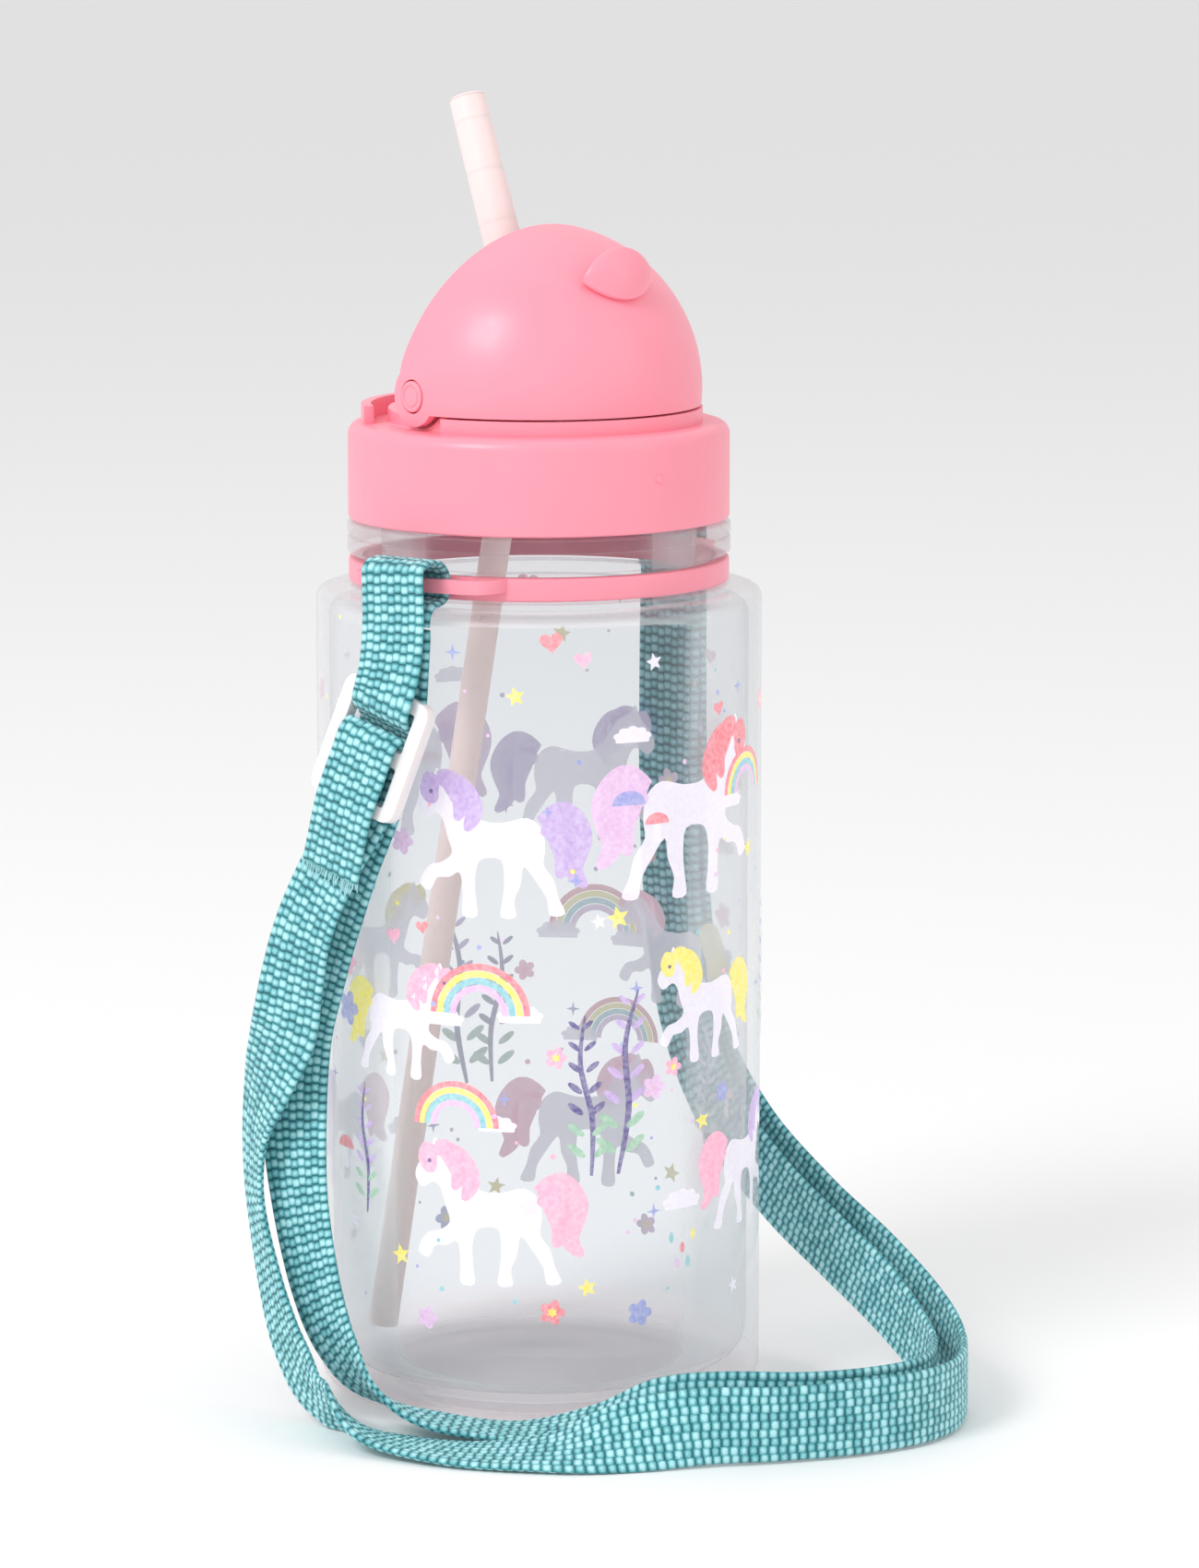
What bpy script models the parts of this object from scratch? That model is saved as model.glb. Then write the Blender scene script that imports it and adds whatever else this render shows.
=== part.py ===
"""Kids water bottle with a sliding dome hood over a folding silicone straw.

Metres, +Z up. The origin is the centre of the foot ring. X is the hood's pivot axis, +Y the drinking side.
The bottle carries a swivelling strap ring, and a screw cap with the hood and the straw.
"""

import bmesh
import bpy
from math import atan2, cos, pi, radians, sin, sqrt
from mathutils import Matrix, Vector

MM = 0.001
GAP = 0.3 * MM  # between touching pieces
OBJECT_NAME = "kids_water_bottle"
MERGE = 0.000001

# Bottle body
BODY_R = 37.5 * MM
WALL = 2.2 * MM
SHOULDER_Z = 136.5 * MM
NECK_R = 28.6 * MM
BORE_R = 26.5 * MM
MOUTH_Z = 158.5 * MM
BEAD_R = 32.2 * MM
GROOVE_R = 29.5 * MM
FOOT_R = 30.5 * MM
FOOT_WIDTH = 3.0 * MM
PUSH_UP = 1.6 * MM
BASE_THICK = 2.6 * MM

# Screw thread, right-handed
PITCH = 4.0 * MM
NECK_TURNS, CAP_TURNS = 1.5, 1.25
THREAD_BEAD = 0.75 * MM
NECK_THREAD_R = 29.05 * MM
CAP_THREAD_R = 29.8 * MM
NECK_THREAD_Z = 149.9 * MM

# Screw collar
COLLAR_R = 32.05 * MM
COLLAR_BORE_R = 30.3 * MM
COLLAR_Z = 148.3 * MM
CEILING_Z = 160.6 * MM
DECK_Z = 164.3 * MM
PEDESTAL_Z = 166.8 * MM
PEDESTAL_R = 25.3 * MM
LEDGE_R = 27.5 * MM
LIP_R = (28.1 * MM, 29.8 * MM)
LIP_Z = 167.3 * MM
STRAW_HOLE_R = 4.7 * MM

# Hood, the fixed dome under it and their pivot
PIVOT = Vector((0, 0, 170.0 * MM))
HOOD_R = 27.4 * MM
HOOD_WALL = 1.3 * MM
DOME_R = 25.5 * MM
DOME_WALL = 1.2 * MM
HOOD_EDGE_Z = 167.1 * MM
EAR_R = 5.0 * MM
CHEEK_R = 4.6 * MM
PIN_R = 2.6 * MM
TAB_LATITUDE = radians(44)
TAB_HALF = (7.2 * MM, 3.4 * MM, 2.3 * MM)

# Straws
STRAW_LEAN = radians(21.5)
STRAW_FOOT = Vector((0, -1.0 * MM, 167.4 * MM))
STRAW_LINKS = 6
LINK = 9.0 * MM
STRAW_R = (3.5 * MM, 3.08 * MM)
STRAW_BORE_R = 1.7 * MM
ROOT_Y = -2.2 * MM
LOWER_TOP = Vector((0, 8.0, 157.3)) * MM
LOWER_END = Vector((-20.7, 17.4, 8.4)) * MM
LOWER_R = 2.5 * MM
LOWER_BORE_R = 1.8 * MM

# Strap ring, its lugs and the webbing
RING_R = (29.8 * MM, 32.0 * MM)
RING_Z = (137.7 * MM, 141.6 * MM)
LUG_ANGLE = radians(194.0)
LUG_HALF_ANGLE = radians(27)
SLOT_HALF_ANGLE = radians(17)
LUG_BAR_R = (34.5 * MM, 36.3 * MM)
LUG_Z = (139.3 * MM, 141.6 * MM)
WEB_WIDTH = 12.5 * MM
WEB_THICK = 1.3 * MM
WEB_CLEAR = 0.1 * MM  # over the ground
SLIDER_SIZE = (18.5 * MM, 20.5 * MM, 2.2 * MM)

# Routes of the webbing's two strands, in millimetres: a point and the direction of the width there.
# They are written along the view of the near lug: to the right, away over the bottle, and up.
INNER_ROUTE = (
    ((-22.8, -31.6, 142.5), (0.81, -0.58, 0)),
    ((-22.9, -31.3, 130.0), (0.81, -0.58, 0)),
    ((-24.0, -30.5, 116.0), (0.80, -0.60, 0)),
    ((-27.6, -29.6, 104.0), (0.80, -0.60, 0)),
    ((-31.6, -28.0, 93.5), (0.80, -0.60, 0)),
    ((-35.2, -25.2, 83.0), (0.84, -0.54, 0)),
    ((-38.2, -22.8, 73.0), (0.90, -0.44, 0)),
    ((-40.3, -21.8, 64.0), (0.92, -0.39, 0)),
    ((-41.1, -23.0, 52.0), (0.90, -0.43, 0)),
    ((-40.2, -25.6, 37.0), (0.78, -0.62, 0)),
    ((-37.3, -30.2, 22.5), (0.68, -0.73, 0)),
    ((-33.4, -34.4, 13.2), (0.60, -0.80, 0)),
    ((-27.6, -38.4, 7.0), (0.50, -0.86, -0.04)),
    ((-18.4, -41.6, 3.0), (0.33, -0.94, -0.03)),
    ((-4.0, -43.4, 1.2), (0.16, -0.98, 0.0)),
    ((9.0, -45.4, 2.8), (0.10, -0.94, -0.30)),
    ((20.0, -47.8, 5.6), (0.04, -0.55, -0.83)),
    ((31.0, -49.2, 6.6), (0, -0.16, -0.98)),
    ((43.0, -49.0, 6.6), (0, 0, -1)),
    ((54.0, -46.0, 6.6), (0, 0, -1)),
    ((62.6, -39.6, 6.6), (0, 0, -1)),
    ((65.8, -30.0, 7.2), (0, 0.05, -1)),
    ((63.6, -20.0, 10.4), (-0.05, 0.16, -0.98)),
    ((58.0, -9.0, 15.6), (-0.20, 0.26, -0.94)),
    ((50.0, 3.0, 21.5), (-0.30, 0.36, -0.88)),
    ((41.0, 15.4, 28.5), (-0.42, 0.48, -0.77)),
    ((32.0, 27.4, 39.0), (-0.58, 0.61, -0.54)),
    ((26.0, 34.0, 54.0), (-0.70, 0.66, -0.26)),
    ((23.6, 34.6, 72.0), (-0.77, 0.62, -0.08)),
    ((22.6, 33.6, 92.0), (-0.80, 0.60, 0)),
    ((22.6, 32.2, 114.0), (-0.81, 0.58, 0)),
    ((22.8, 31.6, 142.5), (-0.81, 0.58, 0)),
)
OUTER_ABOVE = (
    ((-23.9, -33.1, 142.5), (0.81, -0.58, 0)),
    ((-23.8, -33.7, 135.0), (0.81, -0.58, 0)),
    ((-24.3, -34.8, 128.0), (0.81, -0.58, 0)),
)
OUTER_BELOW = (
    ((-31.2, -32.0, 100.0), (0.79, -0.61, 0)),
    ((-35.4, -31.2, 92.0), (0.77, -0.64, 0)),
    ((-39.0, -30.0, 83.0), (0.78, -0.62, 0)),
    ((-41.0, -28.9, 74.0), (0.85, -0.53, 0)),
    ((-42.4, -27.6, 66.0), (0.88, -0.47, 0)),
    ((-45.0, -25.0, 58.0), (0.68, -0.73, 0)),
    ((-47.6, -21.2, 48.0), (0.36, -0.93, 0)),
    ((-47.8, -21.0, 36.0), (0.25, -0.97, 0)),
    ((-45.2, -25.6, 22.5), (0.35, -0.93, 0)),
    ((-41.8, -31.2, 12.6), (0.45, -0.88, 0)),
    ((-36.6, -38.4, 5.8), (0.48, -0.87, -0.02)),
    ((-28.4, -47.0, 2.0), (0.42, -0.90, 0.0)),
    ((-14.0, -55.0, 1.0), (0.24, -0.97, 0.0)),
    ((1.0, -58.8, 2.2), (0.10, -0.97, -0.20)),
    ((14.0, -60.0, 5.0), (0.05, -0.62, -0.78)),
    ((26.0, -59.6, 6.6), (0, -0.20, -0.98)),
    ((39.0, -58.2, 6.6), (0, 0, -1)),
    ((52.0, -54.2, 6.6), (0, 0, -1)),
    ((63.0, -47.6, 6.6), (0, 0, -1)),
    ((69.6, -37.2, 6.6), (0, 0, -1)),
    ((70.6, -25.6, 8.4), (0, 0.10, -0.99)),
    ((66.4, -13.6, 13.0), (-0.12, 0.22, -0.97)),
    ((58.6, -0.8, 19.2), (-0.26, 0.34, -0.90)),
    ((48.8, 12.6, 26.0), (-0.38, 0.46, -0.80)),
    ((38.0, 26.4, 36.0), (-0.54, 0.60, -0.60)),
    ((29.8, 35.4, 50.0), (-0.67, 0.66, -0.30)),
    ((25.8, 37.4, 70.0), (-0.76, 0.64, -0.10)),
    ((24.4, 36.0, 92.0), (-0.80, 0.60, 0)),
    ((24.0, 34.0, 114.0), (-0.81, 0.58, 0)),
    ((23.9, 33.1, 142.5), (-0.81, 0.58, 0)),
)
# The outer strand dips through the slider's upper slot, and the tail comes out over its middle bar:
# heights along the slider and distances out of it, in millimetres
SLIDER_AT = (-27.2, -33.85, 114.0)
SLIDER_UP = (0.36, 0.0, 1.0)
SLIDER_ACROSS = (0.80, -0.60, 0)
SLIDER_DIP = ((9.6, 2.35), (6.9, 2.0), (5.6, 0.6), (4.6, -1.2), (2.6, -2.25), (-3.0, -2.3), (-9.5, -2.3))
TAIL_ROUTE = ((3.3, 0.8), (2.5, 1.9), (0.8, 2.4), (-3.0, 2.3), (-10.0, 2.2), (-16.0, 1.0), (-21.5, -0.3))
ROUTE_RIGHT = Vector((0.766, -0.643, 0))
ROUTE_AWAY = Vector((0.643, 0.766, 0))
STRAND_STEP = 8.0 * MM
BEND_STEP = 0.9 * MM  # where a strip turns by more than its bend limit
BEND_LIMIT = radians(14)

# Facets round a turned piece
BODY_STEPS = 40
SMALL_STEPS = 14
SPHERE_RINGS = 20


# ---------------------------------------------------------------------------
# Helpers
# ---------------------------------------------------------------------------


def clear_scene():
    """Removes the scene's objects."""
    for obj in list(bpy.data.objects):
        bpy.data.objects.remove(obj, do_unlink=True)


def collection(name):
    """A new collection in the scene."""
    made = bpy.data.collections.new(name)
    bpy.context.scene.collection.children.link(made)
    return made


def material(name, colour, roughness, alpha=1.0):
    """A Principled material."""
    mat = bpy.data.materials.new(name)
    mat.use_nodes = True
    shader = mat.node_tree.nodes["Principled BSDF"]
    shader.inputs["Base Color"].default_value = (*colour, 1.0)
    shader.inputs["Roughness"].default_value = roughness
    shader.inputs["Metallic"].default_value = 0.0
    shader.inputs["Alpha"].default_value = alpha
    mat.diffuse_color = (*colour, alpha)
    return mat


def add_object(name, data, group, mat=None, location=(0, 0, 0)):
    """Links a new object that holds the data."""
    obj = bpy.data.objects.new(name, data)
    obj.location = location
    if mat:
        data.materials.append(mat)
    group.objects.link(obj)
    return obj


def as_cutter(obj):
    """Hides an object that only shapes others."""
    obj.hide_render = True
    obj.display_type = "WIRE"
    return obj


def smooth(obj, angle=35):
    """Smooth shading with sharp edges past the angle."""
    obj.data.shade_smooth()
    obj.data.set_sharp_from_angle(angle=radians(angle))


def baked(obj):
    """The object with its modifiers or its curve made into a plain mesh."""
    graph = bpy.context.evaluated_depsgraph_get()
    mesh = bpy.data.meshes.new_from_object(obj.evaluated_get(graph))
    bm = bmesh.new()
    bm.from_mesh(mesh)
    bmesh.ops.remove_doubles(bm, verts=bm.verts, dist=MERGE)
    bm.to_mesh(mesh)
    bm.free()
    name, place = obj.name, obj.matrix_world.copy()
    groups = list(obj.users_collection)
    hidden, display = obj.hide_render, obj.display_type
    bpy.data.objects.remove(obj, do_unlink=True)
    made = bpy.data.objects.new(name, mesh)
    made.matrix_world = place
    made.hide_render, made.display_type = hidden, display
    for group in groups:
        group.objects.link(made)
    return made


def arc(centre, radius, start, end, count):
    """Points on an arc in a profile's plane, angles in degrees."""
    angles = [radians(start + (end - start) * i / (count - 1)) for i in range(count)]
    return [(centre[0] + radius * cos(a), centre[1] + radius * sin(a)) for a in angles]


def lathe(name, profile, group, mat, steps=BODY_STEPS, closed=False):
    """Turns a profile of radius and height, whose outer side runs down, round the Z axis."""
    mesh = bpy.data.meshes.new(name)
    edges = [(i, i + 1) for i in range(len(profile) - 1)]
    if closed:
        edges.append((len(profile) - 1, 0))
    mesh.from_pydata([(r, 0, z) for r, z in profile], edges, [])
    obj = add_object(name, mesh, group, mat)
    screw = obj.modifiers.new("turn", "SCREW")
    screw.angle = 2 * pi
    screw.steps = screw.render_steps = steps
    screw.use_merge_vertices = True
    screw.merge_threshold = MERGE
    return obj


def combine(obj, other, operation):
    """A live Boolean with an exact solver."""
    cut = obj.modifiers.new(operation.lower(), "BOOLEAN")
    cut.operation = operation
    cut.object = other
    cut.solver = "EXACT"


def prism(name, outline, low, high, group, mat=None):
    """A flat outline of points, filled and extruded from low to high."""
    curve = bpy.data.curves.new(name, "CURVE")
    curve.dimensions = "2D"
    curve.fill_mode = "BOTH"
    curve.extrude = (high - low) / 2
    for loop in outline:
        spline = curve.splines.new("POLY")
        spline.points.add(len(loop) - 1)
        for point, (x, y) in zip(spline.points, loop):
            point.co = (x, y, 0, 1)
        spline.use_cyclic_u = True
    return add_object(name, curve, group, mat, (0, 0, (low + high) / 2))


def arc_band(inner, outer, centre, half, count=16):
    """The outline of a band between two radii about a direction."""
    angles = [centre - half + 2 * half * i / count for i in range(count + 1)]
    out = [(outer * cos(a), outer * sin(a)) for a in angles]
    back = [(inner * cos(a), inner * sin(a)) for a in reversed(angles)]
    return [out + back]


def cylinder(name, radius, start, end, group, sides=24, mat=None):
    """A closed cylinder between two points."""
    start, end = Vector(start), Vector(end)
    mesh = bpy.data.meshes.new(name)
    bm = bmesh.new()
    bmesh.ops.create_cone(
        bm,
        cap_ends=True,
        segments=sides,
        radius1=radius,
        radius2=radius,
        depth=(end - start).length,
    )
    turn = (end - start).to_track_quat("Z", "Y").to_matrix().to_4x4()
    bmesh.ops.transform(bm, matrix=Matrix.Translation((start + end) / 2) @ turn, verts=bm.verts)
    bm.to_mesh(mesh)
    bm.free()
    return add_object(name, mesh, group, mat)


def sphere(name, radius, centre, group, stretch=(1, 1, 1), turn=Matrix(), sides=32, mat=None):
    """A closed UV sphere with its poles on the X axis, stretched and turned about its centre."""
    mesh = bpy.data.meshes.new(name)
    bm = bmesh.new()
    bmesh.ops.create_uvsphere(bm, u_segments=sides, v_segments=SPHERE_RINGS, radius=radius)
    poles = Matrix.Rotation(pi / 2, 4, "Y")
    scale = Matrix.Diagonal((*stretch, 1))
    place = Matrix.Translation(Vector(centre)) @ turn @ scale @ poles
    bmesh.ops.transform(bm, matrix=place, verts=bm.verts)
    bm.to_mesh(mesh)
    bm.free()
    return add_object(name, mesh, group, mat)


def box(name, low, high, group):
    """A closed box between two corners."""
    low, high = Vector(low), Vector(high)
    mesh = bpy.data.meshes.new(name)
    bm = bmesh.new()
    bmesh.ops.create_cube(bm, size=1)
    place = Matrix.Translation((low + high) / 2) @ Matrix.Diagonal((*(high - low), 1))
    bmesh.ops.transform(bm, matrix=place, verts=bm.verts)
    bm.to_mesh(mesh)
    bm.free()
    return add_object(name, mesh, group)


def thread(name, radius, base, turns, group):
    """The round bead of a right-handed thread, as a closed helix."""
    per_turn = 24
    count = int(turns * per_turn) + 1
    curve = bpy.data.curves.new(name, "CURVE")
    curve.dimensions = "3D"
    curve.bevel_depth = THREAD_BEAD
    curve.bevel_resolution = 1
    curve.use_fill_caps = True
    spline = curve.splines.new("POLY")
    spline.points.add(count - 1)
    for i, point in enumerate(spline.points):
        turn = 2 * pi * i / per_turn
        point.co = (radius * cos(turn), radius * sin(turn), base + PITCH * i / per_turn, 1)
    return baked(as_cutter(add_object(name, curve, group)))


# ---------------------------------------------------------------------------
# Bottle and seal
# ---------------------------------------------------------------------------


def bottle_profile():
    """Inside from the base's centre up to the mouth, then outside down to the push-up's centre."""
    foot = 7.0 * MM
    inner_foot = foot - WALL
    inner_r = BODY_R - WALL
    floor = PUSH_UP + BASE_THICK
    inside = [(0, floor), (inner_r - inner_foot, floor)]
    inside += arc((inner_r - inner_foot, floor + inner_foot), inner_foot, -60, 0, 3)
    inside += [(inner_r, SHOULDER_Z - 4.2 * MM)]
    inside += arc((inner_r - 2 * MM, SHOULDER_Z - WALL - 2 * MM), 2 * MM, 0, 90, 3)[1:]
    inside += [(BORE_R, SHOULDER_Z - WALL), (BORE_R, MOUTH_Z)]
    neck = [
        (NECK_R, MOUTH_Z),
        (NECK_R, 148.0 * MM),
        (BEAD_R, 147.6 * MM),
        (BEAD_R, 145.7 * MM),
        (BEAD_R - 0.8 * MM, 145.4 * MM),
        (BEAD_R, 145.1 * MM),
        (BEAD_R, 142.5 * MM),
        (GROOVE_R, 142.0 * MM),
        (GROOVE_R, 137.3 * MM),
        (BEAD_R, 137.2 * MM),
        (BEAD_R, SHOULDER_Z),
    ]
    corner = arc((BODY_R - 1.6 * MM, SHOULDER_Z - 1.6 * MM), 1.6 * MM, 90, 0, 4)
    heel = arc((BODY_R - foot, foot), foot, 0, -90, 5)
    ring = [(FOOT_R - FOOT_WIDTH, 0), (FOOT_R - FOOT_WIDTH - MM, PUSH_UP), (0, PUSH_UP)]
    return inside + neck + corner + heel + ring


def bottle(parts, cutters, mat):
    """The clear bottle with its threaded neck."""
    body = lathe("bottle_body", bottle_profile(), parts, mat)
    ridge = thread("neck_thread", NECK_THREAD_R, NECK_THREAD_Z, NECK_TURNS, cutters)
    combine(body, ridge, "UNION")
    return body


def cap_seal(parts, mat):
    """The flat ring between the mouth and the cap's ceiling."""
    low, high = MOUTH_Z + GAP, CEILING_Z - GAP
    inner, outer = BORE_R + 0.2 * MM, COLLAR_BORE_R - 0.7 * MM
    profile = [(inner, high), (outer, high), (outer, low), (inner, low)]
    return lathe("cap_seal", profile, parts, mat, closed=True)


# ---------------------------------------------------------------------------
# Cap
# ---------------------------------------------------------------------------


def collar_profile():
    """The collar's section, from the pedestal's centre down the outside and up the bore."""
    pedestal = [(0, PEDESTAL_Z), (PEDESTAL_R, PEDESTAL_Z), (PEDESTAL_R, DECK_Z)]
    edge = arc((COLLAR_R - 2 * MM, DECK_Z - 2 * MM), 2 * MM, 90, 0, 4)
    skirt = [(COLLAR_R, COLLAR_Z), (COLLAR_BORE_R, COLLAR_Z), (COLLAR_BORE_R, CEILING_Z)]
    return pedestal + edge + skirt + [(0, CEILING_Z)]


def screw_collar(parts, cutters, mat):
    """The screw cap with its deck, the ledge under the open hood and the lip in front of it."""
    collar = lathe("screw_collar", collar_profile(), parts, mat)
    sunk = DECK_Z - MM
    ledge = arc_band(PEDESTAL_R - MM, LEDGE_R, radians(-90), radians(76))
    lip = arc_band(*LIP_R, radians(90), radians(62))
    for name, outline, top in (("ledge", ledge, PEDESTAL_Z - 0.02 * MM), ("lip", lip, LIP_Z)):
        combine(collar, baked(as_cutter(prism(name, outline, sunk, top, cutters))), "UNION")
    start = NECK_THREAD_Z + PITCH / 2
    combine(collar, thread("cap_thread", CAP_THREAD_R, start, CAP_TURNS, cutters), "UNION")
    low, high = (0, ROOT_Y, CEILING_Z - MM), (0, ROOT_Y, PEDESTAL_Z + MM)
    hole = as_cutter(cylinder("straw_hole", STRAW_HOLE_R, low, high, cutters))
    combine(collar, hole, "DIFFERENCE")
    for side, name in ((-1, "notch_left"), (1, "notch_right")):
        ends = sorted((side * 22.2 * MM, side * 28.0 * MM))
        low = (ends[0], -5.8 * MM, DECK_Z)
        notch = as_cutter(box(name, low, (ends[1], 5.8 * MM, PEDESTAL_Z + MM), cutters))
        combine(collar, notch, "DIFFERENCE")
    return collar


def dome_shell(name, radius, wall, front, ear, parts, cutters, mat, tab=None):
    """A part of a spherical shell behind the front outline, with round cheeks on the pivot axis."""
    shell = sphere(name, radius, PIVOT, parts, mat=mat)
    if tab:
        combine(shell, tab, "UNION")
    hollow = as_cutter(sphere(name + "_hollow", radius - wall, PIVOT, cutters))
    combine(shell, hollow, "DIFFERENCE")
    keep = as_cutter(prism(name + "_keep", [front], -40 * MM, 40 * MM, cutters))
    keep.matrix_world = Matrix(((0, 0, 1, 0), (1, 0, 0, 0), (0, 1, 0, 0), (0, 0, 0, 1)))
    bpy.context.view_layer.update()
    keep = baked(keep)
    reach = 40 * MM
    cheek = cylinder(name + "_cheeks", ear, (-reach, 0, PIVOT.z), (reach, 0, PIVOT.z), cutters)
    combine(keep, as_cutter(cheek), "UNION")
    combine(shell, keep, "INTERSECT")
    reach = 41 * MM
    hole_r = PIN_R + GAP
    bore = cylinder(name + "_bore", hole_r, (-reach, 0, PIVOT.z), (reach, 0, PIVOT.z), cutters)
    combine(shell, as_cutter(bore), "DIFFERENCE")
    return shell


def inner_dome(parts, cutters, mat):
    """The fixed half dome that the hood slides over."""
    front = [
        (-35 * MM, HOOD_EDGE_Z),
        (1.2 * MM, HOOD_EDGE_Z),
        (1.2 * MM, 200 * MM),
        (-35 * MM, 200 * MM),
    ]
    return dome_shell("inner_dome", DOME_R, DOME_WALL, front, CHEEK_R, parts, cutters, mat)


def hood(parts, cutters, mat):
    """The sliding hood with its ears and thumb tab."""
    front = [
        (-35 * MM, HOOD_EDGE_Z),
        (2.0 * MM, HOOD_EDGE_Z),
        (3.6 * MM, 173.5 * MM),
        (-2.5 * MM, 197.5 * MM),
        (-3.6 * MM, 202 * MM),
        (-35 * MM, 202 * MM),
    ]
    out = Vector((0, -cos(TAB_LATITUDE), sin(TAB_LATITUDE)))
    turn = Matrix.Rotation(pi / 2 - TAB_LATITUDE, 4, "X")
    at = PIVOT + out * (HOOD_R + 0.5 * MM)
    tab = as_cutter(sphere("thumb_tab", 1.0, at, cutters, TAB_HALF, turn, sides=16))
    return dome_shell("hood", HOOD_R, HOOD_WALL, front, EAR_R, parts, cutters, mat, tab)


def pivot_pin(name, side, parts, mat):
    """A headed pin that holds an ear of the hood to the inner dome's cheek."""
    ends = (22.6 * MM, 23.7 * MM, 27.3 * MM, 27.55 * MM)
    profile = [
        (0, ends[3]),
        (PIN_R - 0.5 * MM, ends[3]),
        (PIN_R, ends[2]),
        (PIN_R, ends[1]),
        (PIN_R + 0.4 * MM, ends[1]),
        (PIN_R + 0.4 * MM, ends[0]),
        (0, ends[0]),
    ]
    pin = lathe(name, profile, parts, mat, steps=20)
    pin.location = PIVOT
    pin.rotation_euler = (0, side * pi / 2, 0)
    return pin


# ---------------------------------------------------------------------------
# Straws
# ---------------------------------------------------------------------------


def straw_root(parts, cutters, mat):
    """The silicone elbow: a neck through the deck, a channel and the lower straw's socket."""
    low, high = 154.6 * MM, CEILING_Z - GAP
    length, half = 10.2 * MM, 4.3 * MM
    ends = [(half * cos(a), length + ROOT_Y + half * sin(a)) for a in stadium_angles(0, pi)]
    ends += [(half * cos(a), ROOT_Y + half * sin(a)) for a in stadium_angles(pi, 2 * pi)]
    root = baked(prism("straw_root", [ends], low, high, parts, mat))
    neck_top = PEDESTAL_Z - 0.2 * MM
    along = (LOWER_END - LOWER_TOP).normalized()
    socket_end = LOWER_TOP + along * 9 * MM
    solids = (
        cylinder("root_neck", 4.4 * MM, (0, ROOT_Y, low + MM), (0, ROOT_Y, neck_top), cutters, 20),
        cylinder("root_socket", 3.9 * MM, LOWER_TOP, socket_end, cutters, 20),
        sphere("root_ball", STRAW_R[0] - 0.2 * MM, STRAW_FOOT, cutters, sides=16),
    )
    for solid in solids:
        combine(root, as_cutter(solid), "UNION")
    up = Vector((0, sin(STRAW_LEAN), cos(STRAW_LEAN)))
    channel = LOWER_TOP.z - MM
    holes = (
        cylinder("bore_up", STRAW_BORE_R, (0, ROOT_Y, channel), STRAW_FOOT + up * 6 * MM, cutters, 12),
        cylinder("bore_across", 1.5 * MM, (0, ROOT_Y, channel), (0, LOWER_TOP.y, channel), cutters, 12),
        cylinder("bore_down", LOWER_R + GAP, LOWER_TOP, socket_end + along * 2 * MM, cutters, 16),
    )
    for hole in holes:
        combine(root, as_cutter(hole), "DIFFERENCE")
    return root


def stadium_angles(start, end, count=8):
    """Angles along a half circle."""
    return [start + (end - start) * i / count for i in range(count + 1)]


def straw_link(index, parts, mat):
    """One link of the soft straw: a cup below that turns on the ball of the link under it."""
    low_r, high_r = (
        STRAW_R[0] + (STRAW_R[1] - STRAW_R[0]) * (index + i) / STRAW_LINKS for i in (0, 1)
    )
    cup = STRAW_R[0] + 0.25 * MM
    rim = atan2(sqrt(cup**2 - low_r**2), low_r)
    bore = atan2(sqrt(cup**2 - STRAW_BORE_R**2), STRAW_BORE_R)
    hollow = [(cup * cos(a), cup * sin(a)) for a in (rim + (bore - rim) * i / 4 for i in range(5))]
    if index == STRAW_LINKS - 1:
        top = [(STRAW_BORE_R + 0.2 * MM, LINK), (high_r - 0.3 * MM, LINK), (high_r, LINK - 0.3 * MM)]
        mouth = [(STRAW_BORE_R, LINK - 0.2 * MM)]
    else:
        ball = high_r - 0.15 * MM
        start = atan2(sqrt(ball**2 - STRAW_BORE_R**2), STRAW_BORE_R)
        top = [(ball * cos(a), LINK + ball * sin(a)) for a in (start * (1 - i / 3) for i in range(4))]
        top += [(high_r, LINK - 0.3 * MM)]
        mouth = []
    profile = mouth + top + hollow
    link = lathe(f"upper_straw_{index + 1}", profile, parts, mat, SMALL_STEPS, closed=True)
    along = Vector((0, sin(STRAW_LEAN), cos(STRAW_LEAN)))
    link.location = STRAW_FOOT + along * LINK * index
    link.rotation_euler = (-STRAW_LEAN, 0, 0)
    return link


def lower_straw(parts, mat):
    """The thin straw from the elbow's socket to just above the bottle's floor."""
    along = LOWER_END - LOWER_TOP
    start = 0.4 * MM
    profile = [
        (LOWER_BORE_R, along.length),
        (LOWER_R, along.length),
        (LOWER_R, start),
        (LOWER_BORE_R, start),
    ]
    straw = lathe("lower_straw", profile, parts, mat, SMALL_STEPS, closed=True)
    straw.location = LOWER_TOP
    straw.rotation_mode = "QUATERNION"
    straw.rotation_quaternion = along.to_track_quat("Z", "Y")
    return straw


# ---------------------------------------------------------------------------
# Strap ring and webbing
# ---------------------------------------------------------------------------


def lug_outline(angle):
    """The outline of a lug's bow with its slot, about a direction."""
    count = 20
    bow = []
    for i in range(count + 1):
        offset = -LUG_HALF_ANGLE + 2 * LUG_HALF_ANGLE * i / count
        rise = min(1.0, (1 - abs(offset) / LUG_HALF_ANGLE) / 0.3)
        radius = RING_R[1] - 0.4 * MM + (LUG_BAR_R[1] - RING_R[1] + 0.4 * MM) * sin(rise * pi / 2)
        bow.append((radius * cos(angle + offset), radius * sin(angle + offset)))
    inner = RING_R[0] + 0.8 * MM
    back = [angle + LUG_HALF_ANGLE * (1 - 2 * i / count) for i in range(count + 1)]
    bow += [(inner * cos(a), inner * sin(a)) for a in back]
    return [bow, arc_band(RING_R[1], LUG_BAR_R[0], angle, SLOT_HALF_ANGLE, 10)[0]]


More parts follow.
